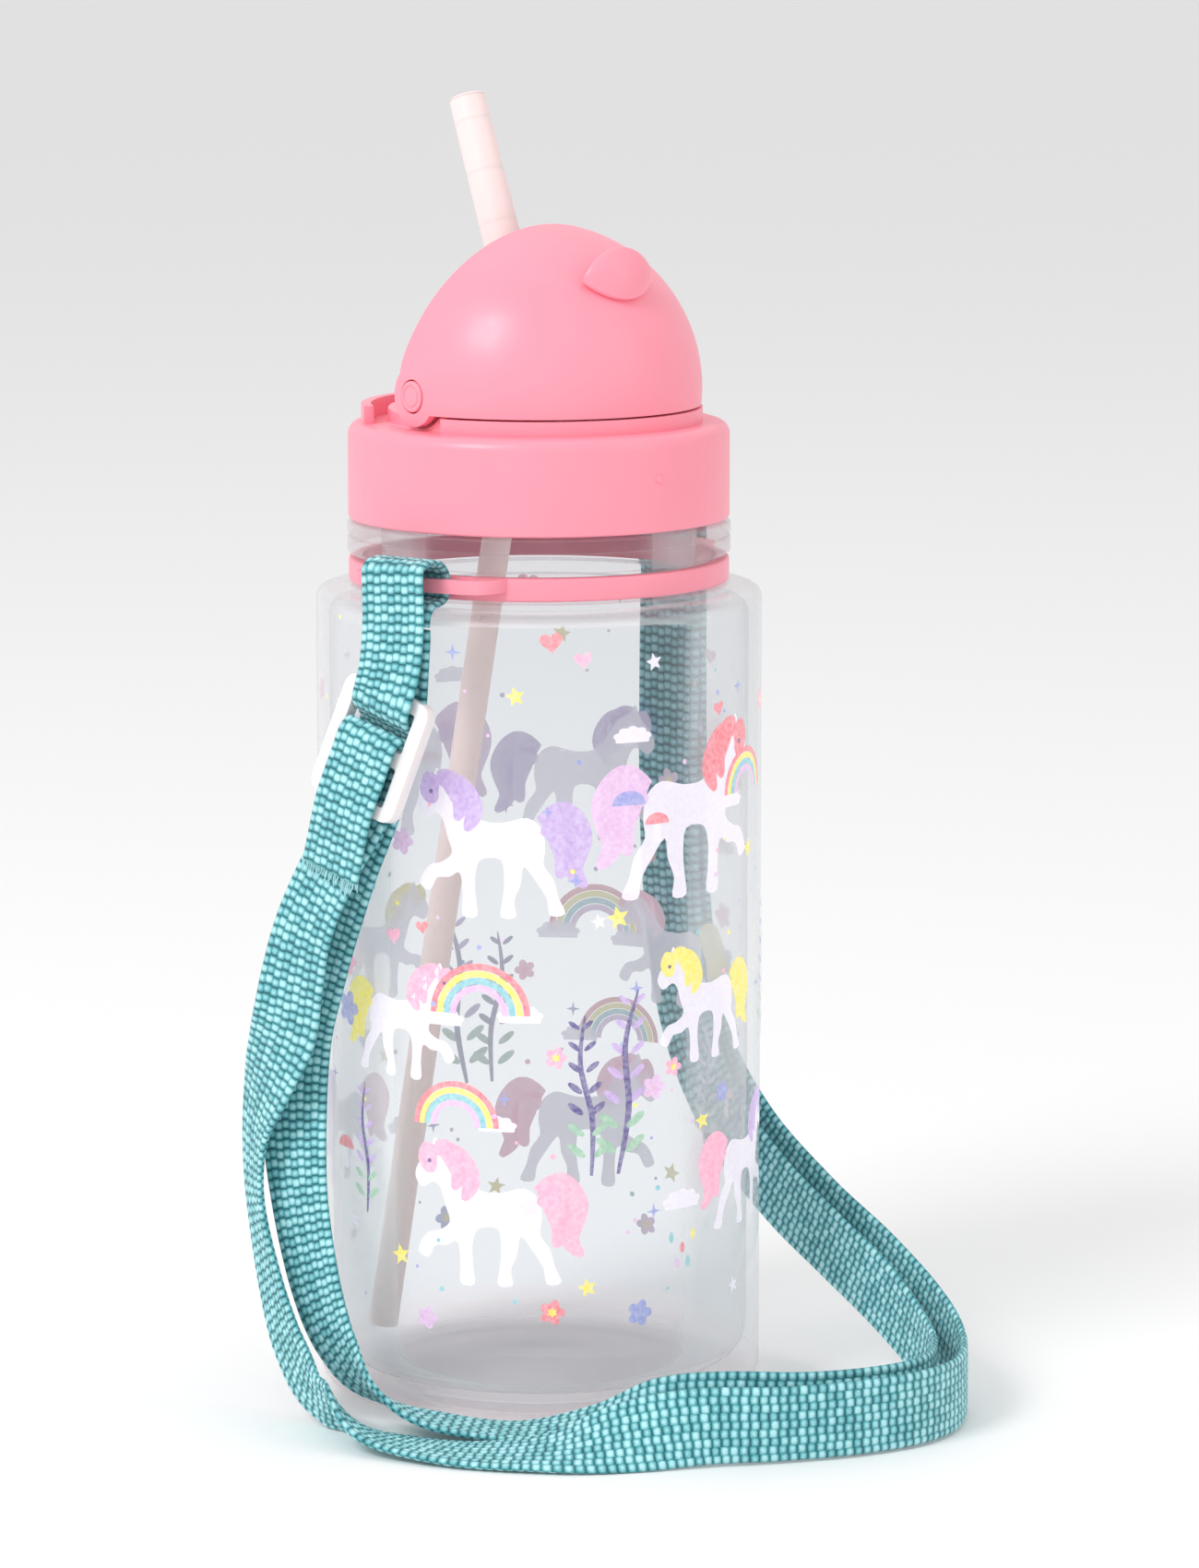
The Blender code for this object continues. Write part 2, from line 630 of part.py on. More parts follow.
def strap_ring(parts, cutters, mat):
    """The ring that swivels in the neck's groove, with its two lugs."""
    low, high = RING_Z
    profile = [(RING_R[0], high), (RING_R[1], high), (RING_R[1], low), (RING_R[0], low)]
    ring = lathe("strap_ring", profile, parts, mat, closed=True)
    for i, angle in enumerate((LUG_ANGLE, LUG_ANGLE + pi)):
        top = high - 0.05 * MM
        bow = prism(f"lug_{i + 1}", lug_outline(angle), LUG_Z[0], top, cutters)
        combine(ring, baked(as_cutter(bow)), "UNION")
    return ring


def web_wrap(name, angle, parts, mat):
    """The band of webbing looped round a lug's bar, as one closed ring of section."""
    inner = (LUG_BAR_R[0] - 0.9 * MM, LUG_BAR_R[1] + 0.5 * MM)
    height = (LUG_Z[0] - GAP, RING_Z[1] + GAP)
    thick = WEB_THICK * 0.75
    hole = rounded_box(inner, height, 0.3 * MM)
    outer = (inner[0] - thick, inner[1] + thick)
    skin = rounded_box(outer, (height[0] - thick, height[1] + thick), 1.2 * MM)
    wrap = prism(name, [skin, hole], -WEB_WIDTH / 2, WEB_WIDTH / 2, parts, mat)
    out, up = Vector((cos(angle), sin(angle), 0)), Vector((0, 0, 1))
    wrap.matrix_world = Matrix((out, up, out.cross(up))).transposed().to_4x4()
    return wrap


def rounded_box(across, height, radius):
    """A rectangle's outline with round corners."""
    corners = (
        (across[1] - radius, height[1] - radius, 0),
        (across[0] + radius, height[1] - radius, 90),
        (across[0] + radius, height[0] + radius, 180),
        (across[1] - radius, height[0] + radius, 270),
    )
    return [p for x, y, start in corners for p in arc((x, y), radius, start, start + 90, 4)]


def placed(point):
    """A route's point in the object's frame, in metres."""
    right, away, up = point
    return (ROUTE_RIGHT * right + ROUTE_AWAY * away + Vector((0, 0, up))) * MM


def turned(direction):
    """A route's direction in the object's frame."""
    right, away, up = direction
    return ROUTE_RIGHT * right + ROUTE_AWAY * away + Vector((0, 0, up))


def catmull(a, b, c, d, t):
    """A point on the smooth curve between b and c."""
    half = 0.5 * (2 * b + (c - a) * t + (2 * a - 5 * b + 4 * c - d) * t * t)
    return half + 0.5 * (3 * b - a - 3 * c + d) * t**3


def sections(route):
    """Points of a smooth curve through the route, closer where it bends, with the width's direction."""
    points, widths = zip(*route)
    last = len(points) - 1
    fine = []
    for i in range(last):
        near = [max(i - 1, 0), i, i + 1, min(i + 2, last)]
        for k in range(20):
            point = catmull(*(points[n] for n in near), k / 20)
            fine.append((point, catmull(*(widths[n] for n in near), k / 20)))
    fine.append((points[-1], widths[-1]))
    found, heading = [fine[0]], fine[1][0] - fine[0][0]
    for before, now in zip(fine, fine[1:-1]):
        along = now[0] - before[0]
        since = (now[0] - found[-1][0]).length
        if since >= STRAND_STEP or (since >= BEND_STEP and along.angle(heading) > BEND_LIMIT):
            found.append(now)
            heading = along
    if (fine[-1][0] - found[-1][0]).length < BEND_STEP:
        found.pop()
    return found + [fine[-1]]


def strand(route):
    """A strand's route in the object's frame."""
    return [(placed(point), turned(width)) for point, width in route]


def slider_frame():
    """Where the slider lies: across, up and out of the strap."""
    up = turned(SLIDER_UP).normalized()
    across = turned(SLIDER_ACROSS)
    across = (across - up * across.dot(up)).normalized()
    turn = Matrix((across, up, across.cross(up))).transposed().to_4x4()
    return Matrix.Translation(placed(SLIDER_AT)) @ turn


def through_slider(points):
    """A route given by heights along the slider and distances out of it."""
    frame = slider_frame()
    across = frame.to_3x3().col[0]
    return [(frame @ (Vector((0, up, out)) * MM), across) for up, out in points]


def webbing(name, route, parts, mat):
    """A flat strip lofted along a route."""
    line = sections(route)
    bm = bmesh.new()
    rings = []
    for i, (point, width) in enumerate(line):
        along = (line[min(i + 1, len(line) - 1)][0] - line[max(i - 1, 0)][0]).normalized()
        width = (width - along * width.dot(along)).normalized() * WEB_WIDTH / 2
        face = along.cross(width).normalized() * WEB_THICK / 2
        corners = [point + c for c in (width + face, face - width, -width - face, width - face)]
        lift = Vector((0, 0, max(0.0, WEB_CLEAR - min(c.z for c in corners))))
        rings.append([bm.verts.new(c + lift) for c in corners])
    for ring, following in zip(rings, rings[1:]):
        for k in range(4):
            n = (k + 1) % 4
            bm.faces.new((ring[k], ring[n], following[n], following[k]))
    bm.faces.new(rings[0][::-1])
    bm.faces.new(rings[-1])
    bmesh.ops.recalc_face_normals(bm, faces=bm.faces)
    mesh = bpy.data.meshes.new(name)
    bm.to_mesh(mesh)
    bm.free()
    return add_object(name, mesh, parts, mat)


def strap_slider(parts, mat):
    """The three-bar slider that the strap's ends thread through, flat against the outer strand."""
    width, height, thick = SLIDER_SIZE
    side, bar, middle = 2.6 * MM, 2.2 * MM, 2.6 * MM
    slot_w = width / 2 - side
    slot_top, slot_low = height / 2 - bar, middle / 2
    outline = [rounded_box((-width / 2, width / 2), (-height / 2, height / 2), 1.5 * MM)]
    for low, high in ((slot_low, slot_top), (-slot_top, -slot_low)):
        outline.append([(-slot_w, low), (slot_w, low), (slot_w, high), (-slot_w, high)])
    slider = prism("strap_slider", outline, -thick / 2, thick / 2, parts, mat)
    slider.matrix_world = slider_frame()
    return slider


# ---------------------------------------------------------------------------
# The object
# ---------------------------------------------------------------------------


def main():
    clear_scene()
    parts = collection(OBJECT_NAME)
    cutters = collection("cutters")
    clear = material("clear_copolyester", (0.93, 0.95, 0.96), 0.05, alpha=0.3)
    pink = material("pink_polypropylene", (1.0, 0.35, 0.43), 0.3)
    silicone = material("translucent_silicone", (0.9, 0.78, 0.76), 0.4)
    seal = material("white_silicone", (0.9, 0.9, 0.88), 0.5)
    frosted = material("frosted_acetal", (0.85, 0.85, 0.87), 0.3)
    teal = material("teal_polyester_webbing", (0.08, 0.46, 0.42), 0.85)

    bottle(parts, cutters, clear)
    cap_seal(parts, seal)
    strap_ring(parts, cutters, pink)
    screw_collar(parts, cutters, pink)
    inner_dome(parts, cutters, pink)
    hood(parts, cutters, pink)
    pivot_pin("pivot_pin_left", -1, parts, pink)
    pivot_pin("pivot_pin_right", 1, parts, pink)
    straw_root(parts, cutters, silicone)
    for index in range(STRAW_LINKS):
        straw_link(index, parts, silicone)
    lower_straw(parts, silicone)
    web_wrap("webbing_loop_near", LUG_ANGLE, parts, teal)
    web_wrap("webbing_loop_far", LUG_ANGLE + pi, parts, teal)
    webbing("webbing_inner_strand", strand(INNER_ROUTE), parts, teal)
    outer = strand(OUTER_ABOVE) + through_slider(SLIDER_DIP) + strand(OUTER_BELOW)
    webbing("webbing_outer_strand", outer, parts, teal)
    webbing("webbing_tail", through_slider(TAIL_ROUTE), parts, teal)
    strap_slider(parts, frosted)
    for obj in parts.objects:
        if obj.type == "MESH":
            smooth(obj)


main()
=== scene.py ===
"""Kids water bottle with a dome hood, a silicone straw and a carrying strap, finished over its frame.

Metres, +Z up. The origin is the centre of the foot ring. X is the hood's pivot axis, +Y the drinking side.
Each sub-assembly is a class whose size fields are in metres.
"""

import logging
from collections import defaultdict
from collections.abc import Iterable, Sequence
from dataclasses import dataclass, field
from enum import Enum
from math import atan2, cos, hypot, pi, radians, sin

import bmesh
import bpy
import numpy as np
from mathutils import Matrix, Vector
from mathutils.geometry import tessellate_polygon


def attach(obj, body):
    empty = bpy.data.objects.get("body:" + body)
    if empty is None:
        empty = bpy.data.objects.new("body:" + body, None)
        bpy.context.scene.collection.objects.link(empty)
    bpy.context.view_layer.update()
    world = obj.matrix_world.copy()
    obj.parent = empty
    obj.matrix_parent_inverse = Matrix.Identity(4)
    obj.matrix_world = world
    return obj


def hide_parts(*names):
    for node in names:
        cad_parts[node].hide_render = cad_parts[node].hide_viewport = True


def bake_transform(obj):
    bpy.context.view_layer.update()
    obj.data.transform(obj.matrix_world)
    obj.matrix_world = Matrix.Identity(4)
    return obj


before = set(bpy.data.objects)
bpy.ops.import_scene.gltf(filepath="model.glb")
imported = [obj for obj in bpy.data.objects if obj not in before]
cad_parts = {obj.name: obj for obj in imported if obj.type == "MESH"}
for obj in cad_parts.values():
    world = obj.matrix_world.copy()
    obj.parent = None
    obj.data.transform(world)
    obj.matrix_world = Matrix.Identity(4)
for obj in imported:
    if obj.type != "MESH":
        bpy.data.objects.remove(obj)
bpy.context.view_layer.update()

MM = 0.001
LOG = logging.getLogger("water_bottle")

Outline = list[tuple[float, float]]
Route = list[tuple[Vector, Vector]]


# ---------------------------------------------------------------------------
# Modelling tools
# ---------------------------------------------------------------------------


def deselect_all() -> None:
    """Leaves nothing selected and no object in edit mode."""
    if bpy.context.object and bpy.context.object.mode != "OBJECT":
        bpy.ops.object.mode_set(mode="OBJECT")
    bpy.ops.object.select_all(action="DESELECT")


def choose(obj: bpy.types.Object) -> bpy.types.Object:
    """Makes an object the only selected one and the active one."""
    deselect_all()
    obj.select_set(True)
    bpy.context.view_layer.objects.active = obj
    return obj


def settle(obj: bpy.types.Object) -> bpy.types.Object:
    """Moves an object's place into its mesh, so that it sits at the origin."""
    choose(obj)
    bpy.ops.object.transform_apply(location=True, rotation=True, scale=True)
    return obj


def apply_modifiers(obj: bpy.types.Object) -> bpy.types.Object:
    """Applies an object's modifiers in order."""
    choose(obj)
    for modifier in list(obj.modifiers):
        bpy.ops.object.modifier_apply(modifier=modifier.name)
    return obj


def face_outwards(obj: bpy.types.Object) -> bpy.types.Object:
    """Merges an object's doubled points and turns its faces outwards."""
    choose(obj)
    bpy.ops.object.mode_set(mode="EDIT")
    bpy.ops.mesh.select_all(action="SELECT")
    bpy.ops.mesh.remove_doubles(threshold=0.001 * MM)
    bpy.ops.mesh.normals_make_consistent(inside=False)
    bpy.ops.object.mode_set(mode="OBJECT")
    return obj


def smooth(obj: bpy.types.Object, angle: float = 30.0) -> bpy.types.Object:
    """Shades an object smooth, with sharp edges past an angle in degrees."""
    choose(obj)
    bpy.ops.object.shade_smooth_by_angle(angle=radians(angle))
    return obj


def from_data(name: str, points: Sequence, edges: Sequence, faces: Sequence) -> bpy.types.Object:
    """Makes a mesh object from its points, edges and faces.

    Args:
        name: The object's name.
        points: The points' places.
        edges: Pairs of points, empty where there are faces.
        faces: The faces' points.

    Returns:
        The linked object.
    """
    mesh = bpy.data.meshes.new(name)
    mesh.from_pydata(points, edges, faces)
    obj = bpy.data.objects.new(name, mesh)
    bpy.context.scene.collection.objects.link(obj)
    return obj


def arc(centre: tuple[float, float], radius: float, start: float, end: float, count: int) -> Outline:
    """Points on an arc, with its angles in degrees."""
    turns = (radians(start + (end - start) * i / (count - 1)) for i in range(count))
    return [(centre[0] + radius * cos(a), centre[1] + radius * sin(a)) for a in turns]


def rounded(corners: Sequence[tuple[float, float, float]], count: int = 5) -> Outline:
    """An open profile whose inner corners are rounded.

    Args:
        corners: Each corner's radius from the axis, its height and its rounding.
        count: The points on each rounding.

    Returns:
        The profile's points.
    """
    found: Outline = [corners[0][:2]]
    for before, corner, after in zip(corners, corners[1:], corners[2:]):
        here = Vector(corner[:2])
        back, ahead = Vector(before[:2]) - here, Vector(after[:2]) - here
        reach = min(corner[2], back.length / 2.01, ahead.length / 2.01)
        if reach < 0.01 * MM:
            found.append(tuple(here))
            continue
        first, last = here + back.normalized() * reach, here + ahead.normalized() * reach
        for i in range(count):
            t = i / (count - 1)
            found.append(tuple(first * (1 - t) ** 2 + here * 2 * t * (1 - t) + last * t * t))
    return found + [corners[-1][:2]]


def lathe(name: str, profile: Outline, steps: int = 144, closed: bool = False) -> bpy.types.Object:
    """Turns a profile round the Z axis.

    Args:
        name: The object's name.
        profile: Points of radius and height.
        steps: The segments round the axis.
        closed: Whether the profile's last point joins its first.

    Returns:
        The turned object, merged and facing outwards.
    """
    edges = [(i, i + 1) for i in range(len(profile) - 1)]
    if closed:
        edges.append((len(profile) - 1, 0))
    obj = from_data(name, [(r, 0, z) for r, z in profile], edges, [])
    turn = obj.modifiers.new("turn", "SCREW")
    turn.steps = turn.render_steps = steps
    turn.use_merge_vertices = True
    turn.merge_threshold = 0.001 * MM
    return face_outwards(apply_modifiers(obj))


def prism(name: str, outlines: Sequence[Outline], low: float, high: float) -> bpy.types.Object:
    """Fills outlines, the later ones as holes, and extrudes them from low to high."""
    curve = bpy.data.curves.new(name, "CURVE")
    curve.dimensions = "2D"
    curve.fill_mode = "BOTH"
    curve.extrude = (high - low) / 2
    for outline in outlines:
        spline = curve.splines.new("POLY")
        spline.points.add(len(outline) - 1)
        for point, (x, y) in zip(spline.points, outline):
            point.co = (x, y, 0, 1)
        spline.use_cyclic_u = True
    obj = bpy.data.objects.new(name, curve)
    obj.location.z = (low + high) / 2
    bpy.context.scene.collection.objects.link(obj)
    choose(obj)
    bpy.ops.object.convert(target="MESH")
    return face_outwards(settle(obj))


def cylinder(name: str, radius: float, start: Vector, end: Vector, sides: int = 48) -> bpy.types.Object:
    """A closed cylinder between two points."""
    deselect_all()
    along = end - start
    bpy.ops.mesh.primitive_cylinder_add(
        vertices=sides,
        radius=radius,
        depth=along.length,
        location=(start + end) / 2,
        rotation=along.to_track_quat("Z", "Y").to_euler(),
    )
    obj = bpy.context.object
    obj.name = name
    return settle(obj)


def ball(name: str, radius: float, centre: Vector, rings: int = 64) -> bpy.types.Object:
    """A sphere with its poles on the X axis."""
    deselect_all()
    bpy.ops.mesh.primitive_uv_sphere_add(
        segments=rings * 2, ring_count=rings, radius=radius, location=centre, rotation=(0, pi / 2, 0)
    )
    obj = bpy.context.object
    obj.name = name
    return settle(obj)


def combine(obj: bpy.types.Object, other: bpy.types.Object, operation: str) -> bpy.types.Object:
    """Applies an exact Boolean with another object, which is then removed."""
    cut = obj.modifiers.new("cut", "BOOLEAN")
    cut.operation = operation
    cut.solver = "EXACT"
    cut.object = other
    apply_modifiers(obj)
    bpy.data.objects.remove(other, do_unlink=True)
    return obj


def soften(obj: bpy.types.Object, width: float, segments: int = 3, angle: float = 40.0) -> bpy.types.Object:
    """Rounds an object's edges that are sharper than an angle in degrees."""
    edge = obj.modifiers.new("edge", "BEVEL")
    edge.width = width
    edge.segments = segments
    edge.limit_method = "ANGLE"
    edge.angle_limit = radians(angle)
    edge.miter_outer = "MITER_ARC"
    return apply_modifiers(obj)


def tube(name: str, line: Sequence[Vector], radii: Sequence[float], sides: int = 12) -> bpy.types.Object:
    """A closed tube of changing radius along a line of points.

    Args:
        name: The object's name.
        line: The centre line.
        radii: The radius at each point.
        sides: The sides round the tube.

    Returns:
        The tube, capped at its ends.
    """
    curve = bpy.data.curves.new(name, "CURVE")
    curve.dimensions = "3D"
    curve.bevel_depth = 1.0
    curve.bevel_resolution = max(0, sides // 4 - 1)
    curve.use_fill_caps = True
    spline = curve.splines.new("POLY")
    spline.points.add(len(line) - 1)
    for point, place, radius in zip(spline.points, line, radii):
        point.co = (*place, 1)
        point.radius = radius
    obj = bpy.data.objects.new(name, curve)
    bpy.context.scene.collection.objects.link(obj)
    choose(obj)
    bpy.ops.object.convert(target="MESH")
    return face_outwards(obj)


def join(name: str, pieces: Sequence[bpy.types.Object]) -> bpy.types.Object:
    """Joins pieces into the first of them, under a new name."""
    choose(pieces[0])
    for piece in pieces[1:]:
        piece.select_set(True)
    if len(pieces) > 1:
        bpy.ops.object.join()
    pieces[0].name = name
    return pieces[0]


def arc_band(inner: float, outer: float, centre: float, half: float, count: int = 60) -> Outline:
    """The outline of a band between two radii about a direction."""
    turns = [centre - half + 2 * half * i / count for i in range(count + 1)]
    out = [(outer * cos(a), outer * sin(a)) for a in turns]
    return out + [(inner * cos(a), inner * sin(a)) for a in reversed(turns)]


def catmull(a: Vector, b: Vector, c: Vector, d: Vector, t: float) -> Vector:
    """A point on the smooth curve between b and c."""
    half = 0.5 * (2 * b + (c - a) * t + (2 * a - 5 * b + 4 * c - d) * t * t)
    return half + 0.5 * (3 * b - a - 3 * c + d) * t**3


def flowing(points: Sequence, per_span: int = 6, closed: bool = False) -> list[Vector]:
    """Points of a smooth curve through the given ones."""
    line = [Vector(p) for p in points]
    count = len(line)
    spans = count if closed else count - 1
    found = []
    for i in range(spans):
        near = [(i + k) % count if closed else min(max(i + k, 0), count - 1) for k in (-1, 0, 1, 2)]
        found += [catmull(*(line[n] for n in near), k / per_span) for k in range(per_span)]
    return found if closed else found + [line[-1]]


def dress(obj: bpy.types.Object, *finishes: bpy.types.Material) -> bpy.types.Object:
    """Gives an object its materials, in slot order."""
    obj.data.materials.clear()
    for finish in finishes:
        obj.data.materials.append(finish)
    return obj


# ---------------------------------------------------------------------------
# Finishes
# ---------------------------------------------------------------------------


def linear(hexed: str) -> tuple[float, float, float, float]:
    """A linear colour from an sRGB hex value."""
    parts = (int(hexed[i : i + 2], 16) / 255 for i in (0, 2, 4))
    return (*(c / 12.92 if c <= 0.04045 else ((c + 0.055) / 1.055) ** 2.4 for c in parts), 1.0)


def add_node(tree: bpy.types.NodeTree, kind: str, inputs: dict | None = None, **settings) -> bpy.types.Node:
    """Adds a node with its settings, values and links.

    Args:
        tree: The material's node tree.
        kind: The node's type.
        inputs: Values, or output sockets to link, by the input's name or number.
        **settings: Properties of the node.

    Returns:
        The new node.
    """
    node = tree.nodes.new(kind)
    for name, value in settings.items():
        setattr(node, name, value)
    for name, value in (inputs or {}).items():
        if isinstance(value, bpy.types.NodeSocket):
            tree.links.new(value, node.inputs[name])
        else:
            node.inputs[name].default_value = value
    return node


def blank(name: str) -> tuple[bpy.types.Material, bpy.types.NodeTree, bpy.types.Node]:
    """A new material without its default shader, its tree and its output."""
    mat = bpy.data.materials.new(name)
    mat.use_nodes = True
    tree = mat.node_tree
    tree.nodes.clear()
    return mat, tree, add_node(tree, "ShaderNodeOutputMaterial")


def blotches(tree: bpy.types.NodeTree, size: float, detail: float = 3.0) -> bpy.types.NodeSocket:
    """Noise on object coordinates whose blotches are about a size in metres."""
    place = add_node(tree, "ShaderNodeTexCoord").outputs["Object"]
    noise = {"Vector": place, "Scale": 1 / size, "Detail": detail}
    return add_node(tree, "ShaderNodeTexNoise", noise).outputs["Fac"]


def mottled(tree: bpy.types.NodeTree, size: float, low: float, high: float) -> bpy.types.NodeSocket:
    """A value that wanders between two ends in blotches of about a size in metres."""
    ends = {"Value": blotches(tree, size), "From Min": 0.3, "From Max": 0.7, "To Min": low, "To Max": high}
    return add_node(tree, "ShaderNodeMapRange", ends).outputs["Result"]


@dataclass(frozen=True)
class MouldedPlastic:
    """Injection-moulded polypropylene: a fine, nearly glossy skin with a soft depth of colour.

    Large faint blotches of flow, and a grain of about 0.6 mm that breaks the highlights up slightly.
    """

    name: str
    colour: str
    shade: str
    roughness: float = 0.34
    depth: float = 0.0
    grain: float = 0.6 * MM

    def material(self) -> bpy.types.Material:
        """Builds the material."""
        mat, tree, output = blank(self.name)
        flow = mottled(tree, 14 * MM, 0.0, 0.35)
        colour = add_node(
            tree, "ShaderNodeMix", {0: flow, 6: linear(self.colour), 7: linear(self.shade)}, data_type="RGBA"
        )
        fine = blotches(tree, self.grain, 2.0)
        bump = add_node(tree, "ShaderNodeBump", {"Strength": 0.05, "Distance": 0.01 * MM, "Height": fine})
        shader = add_node(
            tree,
            "ShaderNodeBsdfPrincipled",
            {
                "Base Color": colour.outputs[2],
                "Roughness": mottled(tree, 3 * MM, self.roughness - 0.03, self.roughness + 0.05),
                "IOR": 1.49,
                "Subsurface Weight": self.depth,
                "Subsurface Radius": (1.0, 0.45, 0.4),
                "Subsurface Scale": 1.2 * MM,
                "Normal": bump.outputs["Normal"],
            },
        )
        tree.links.new(shader.outputs["BSDF"], output.inputs["Surface"])
        return mat


@dataclass(frozen=True)
class ClearWall:
    """Clear copolyester walls: nearly invisible face on, with painted grey shade towards the edges and a
    bright gloss at a slant.
    """

    name: str = "clear_copolyester_wall"
    tint: str = "FAFBFC"
    # edge: the painted grey shade that the walls fade to at a slant.
    edge: str = "BCC0C4"
    slope: float = 4.0
    gloss: float = 0.35

    def material(self) -> bpy.types.Material:
        """Builds the material."""
        mat, tree, output = blank(self.name)
        # Painted shade: the see-through colour greys towards the edges, by how slanted the face is.
        slant = add_node(tree, "ShaderNodeLayerWeight", {"Blend": 0.18}).outputs["Facing"]
        rim = add_node(tree, "ShaderNodeMath", {0: slant, 1: self.slope}, operation="POWER").outputs[0]
        tint_and_painted_edge_shade = add_node(
            tree, "ShaderNodeMix", {0: rim, 6: linear(self.tint), 7: linear(self.edge)}, data_type="RGBA"
        )
        through = add_node(tree, "ShaderNodeBsdfTransparent", {"Color": tint_and_painted_edge_shade.outputs[2]})
        ripple = blotches(tree, 9 * MM, 1.0)
        bump = add_node(tree, "ShaderNodeBump", {"Strength": 0.25, "Distance": 0.12 * MM, "Height": ripple})
        gloss = add_node(
            tree,
            "ShaderNodeBsdfPrincipled",
            {
                "Base Color": linear("FFFFFF"),
                "Roughness": 0.06,
                "IOR": 1.57,
                "Transmission Weight": 0.0,
                "Normal": bump.outputs["Normal"],
            },
        )
        fresnel = add_node(tree, "ShaderNodeFresnel", {"IOR": 1.35})
        limited = {0: fresnel.outputs["Fac"], 1: self.gloss}
        share = add_node(tree, "ShaderNodeMath", limited, operation="MINIMUM").outputs[0]
        both = add_node(
            tree, "ShaderNodeMixShader", {0: share, 1: through.outputs[0], 2: gloss.outputs["BSDF"]}
        )
        tree.links.new(both.outputs[0], output.inputs["Surface"])
        return mat


@dataclass(frozen=True)
class Silicone:
    """Moulded silicone: milky and soft, light passes a little way in, with a satin skin."""

    name: str
    colour: str
    # The base colour, and the heights over which it fades in, paint reflected colour and shade low down.
    base: str
    roughness: float = 0.38
    painted_blush: tuple[float, float] = (0.166, 0.182)
    clarity: float = 0.0

    def material(self) -> bpy.types.Material:
        """Builds the material, with painted reflected colour and shade: deeper in colour low down, near the
        parts round it.
        """
        mat, tree, output = blank(self.name)
        place = add_node(tree, "ShaderNodeTexCoord").outputs["Object"]
        height = add_node(tree, "ShaderNodeSeparateXYZ", {0: place}).outputs["Z"]
        # Painted reflected colour and shade: below these heights the colour deepens to the base colour.
        deep, clear = self.painted_blush
        ends = {"Value": height, "From Min": deep, "From Max": clear, "To Min": 1, "To Max": 0}
        low = add_node(tree, "ShaderNodeMapRange", ends).outputs["Result"]
        colour = add_node(
            tree, "ShaderNodeMix", {0: low, 6: linear(self.colour), 7: linear(self.base)}, data_type="RGBA"
        )
        skin = blotches(tree, 0.4 * MM, 2.0)
        bump = add_node(tree, "ShaderNodeBump", {"Strength": 0.15, "Distance": 0.03 * MM, "Height": skin})
        shader = add_node(
            tree,
            "ShaderNodeBsdfPrincipled",
            {
                "Base Color": colour.outputs[2],
                "Roughness": mottled(tree, 2 * MM, self.roughness - 0.04, self.roughness + 0.06),
                "IOR": 1.41,
                "Subsurface Weight": 0.35,
                "Subsurface Radius": (1.0, 0.7, 0.6),
                "Subsurface Scale": 0.8 * MM,
                "Transmission Weight": self.clarity,
                "Normal": bump.outputs["Normal"],
            },
        )
        tree.links.new(shader.outputs["BSDF"], output.inputs["Surface"])
        return mat


@dataclass(frozen=True)
class PrintInk:
    """Screen-printed ink on plastic: a thin, slightly uneven film that the wall shines through, with a
    painted glow in its own colour.
    """

    name: str
    colour: str
    cover: float = 0.86

    def made(self) -> bpy.types.Material:
        """The ink's material, built the first time it is asked for."""
        return bpy.data.materials.get(self.name) or self.material()

    def material(self) -> bpy.types.Material:
        """Builds the material."""
        mat, tree, output = blank(self.name)
        uneven = mottled(tree, 0.8 * MM, 0.0, 0.22)
        colour = add_node(
            tree, "ShaderNodeMix", {0: uneven, 6: linear(self.colour), 7: linear("FFFFFF")}, data_type="RGBA"
        )
        shader = add_node(
            tree,
            "ShaderNodeBsdfPrincipled",
            {
                "Base Color": colour.outputs[2],
                "Roughness": 0.32,
                "IOR": 1.5,
                "Alpha": self.cover,
                # Painted light: the ink glows faintly in its own colour, brightening it where the walls shade
                # it.
                "Emission Color": colour.outputs[2],
                "Emission Strength": 0.28,
            },
        )
        tree.links.new(shader.outputs["BSDF"], output.inputs["Surface"])
        return mat


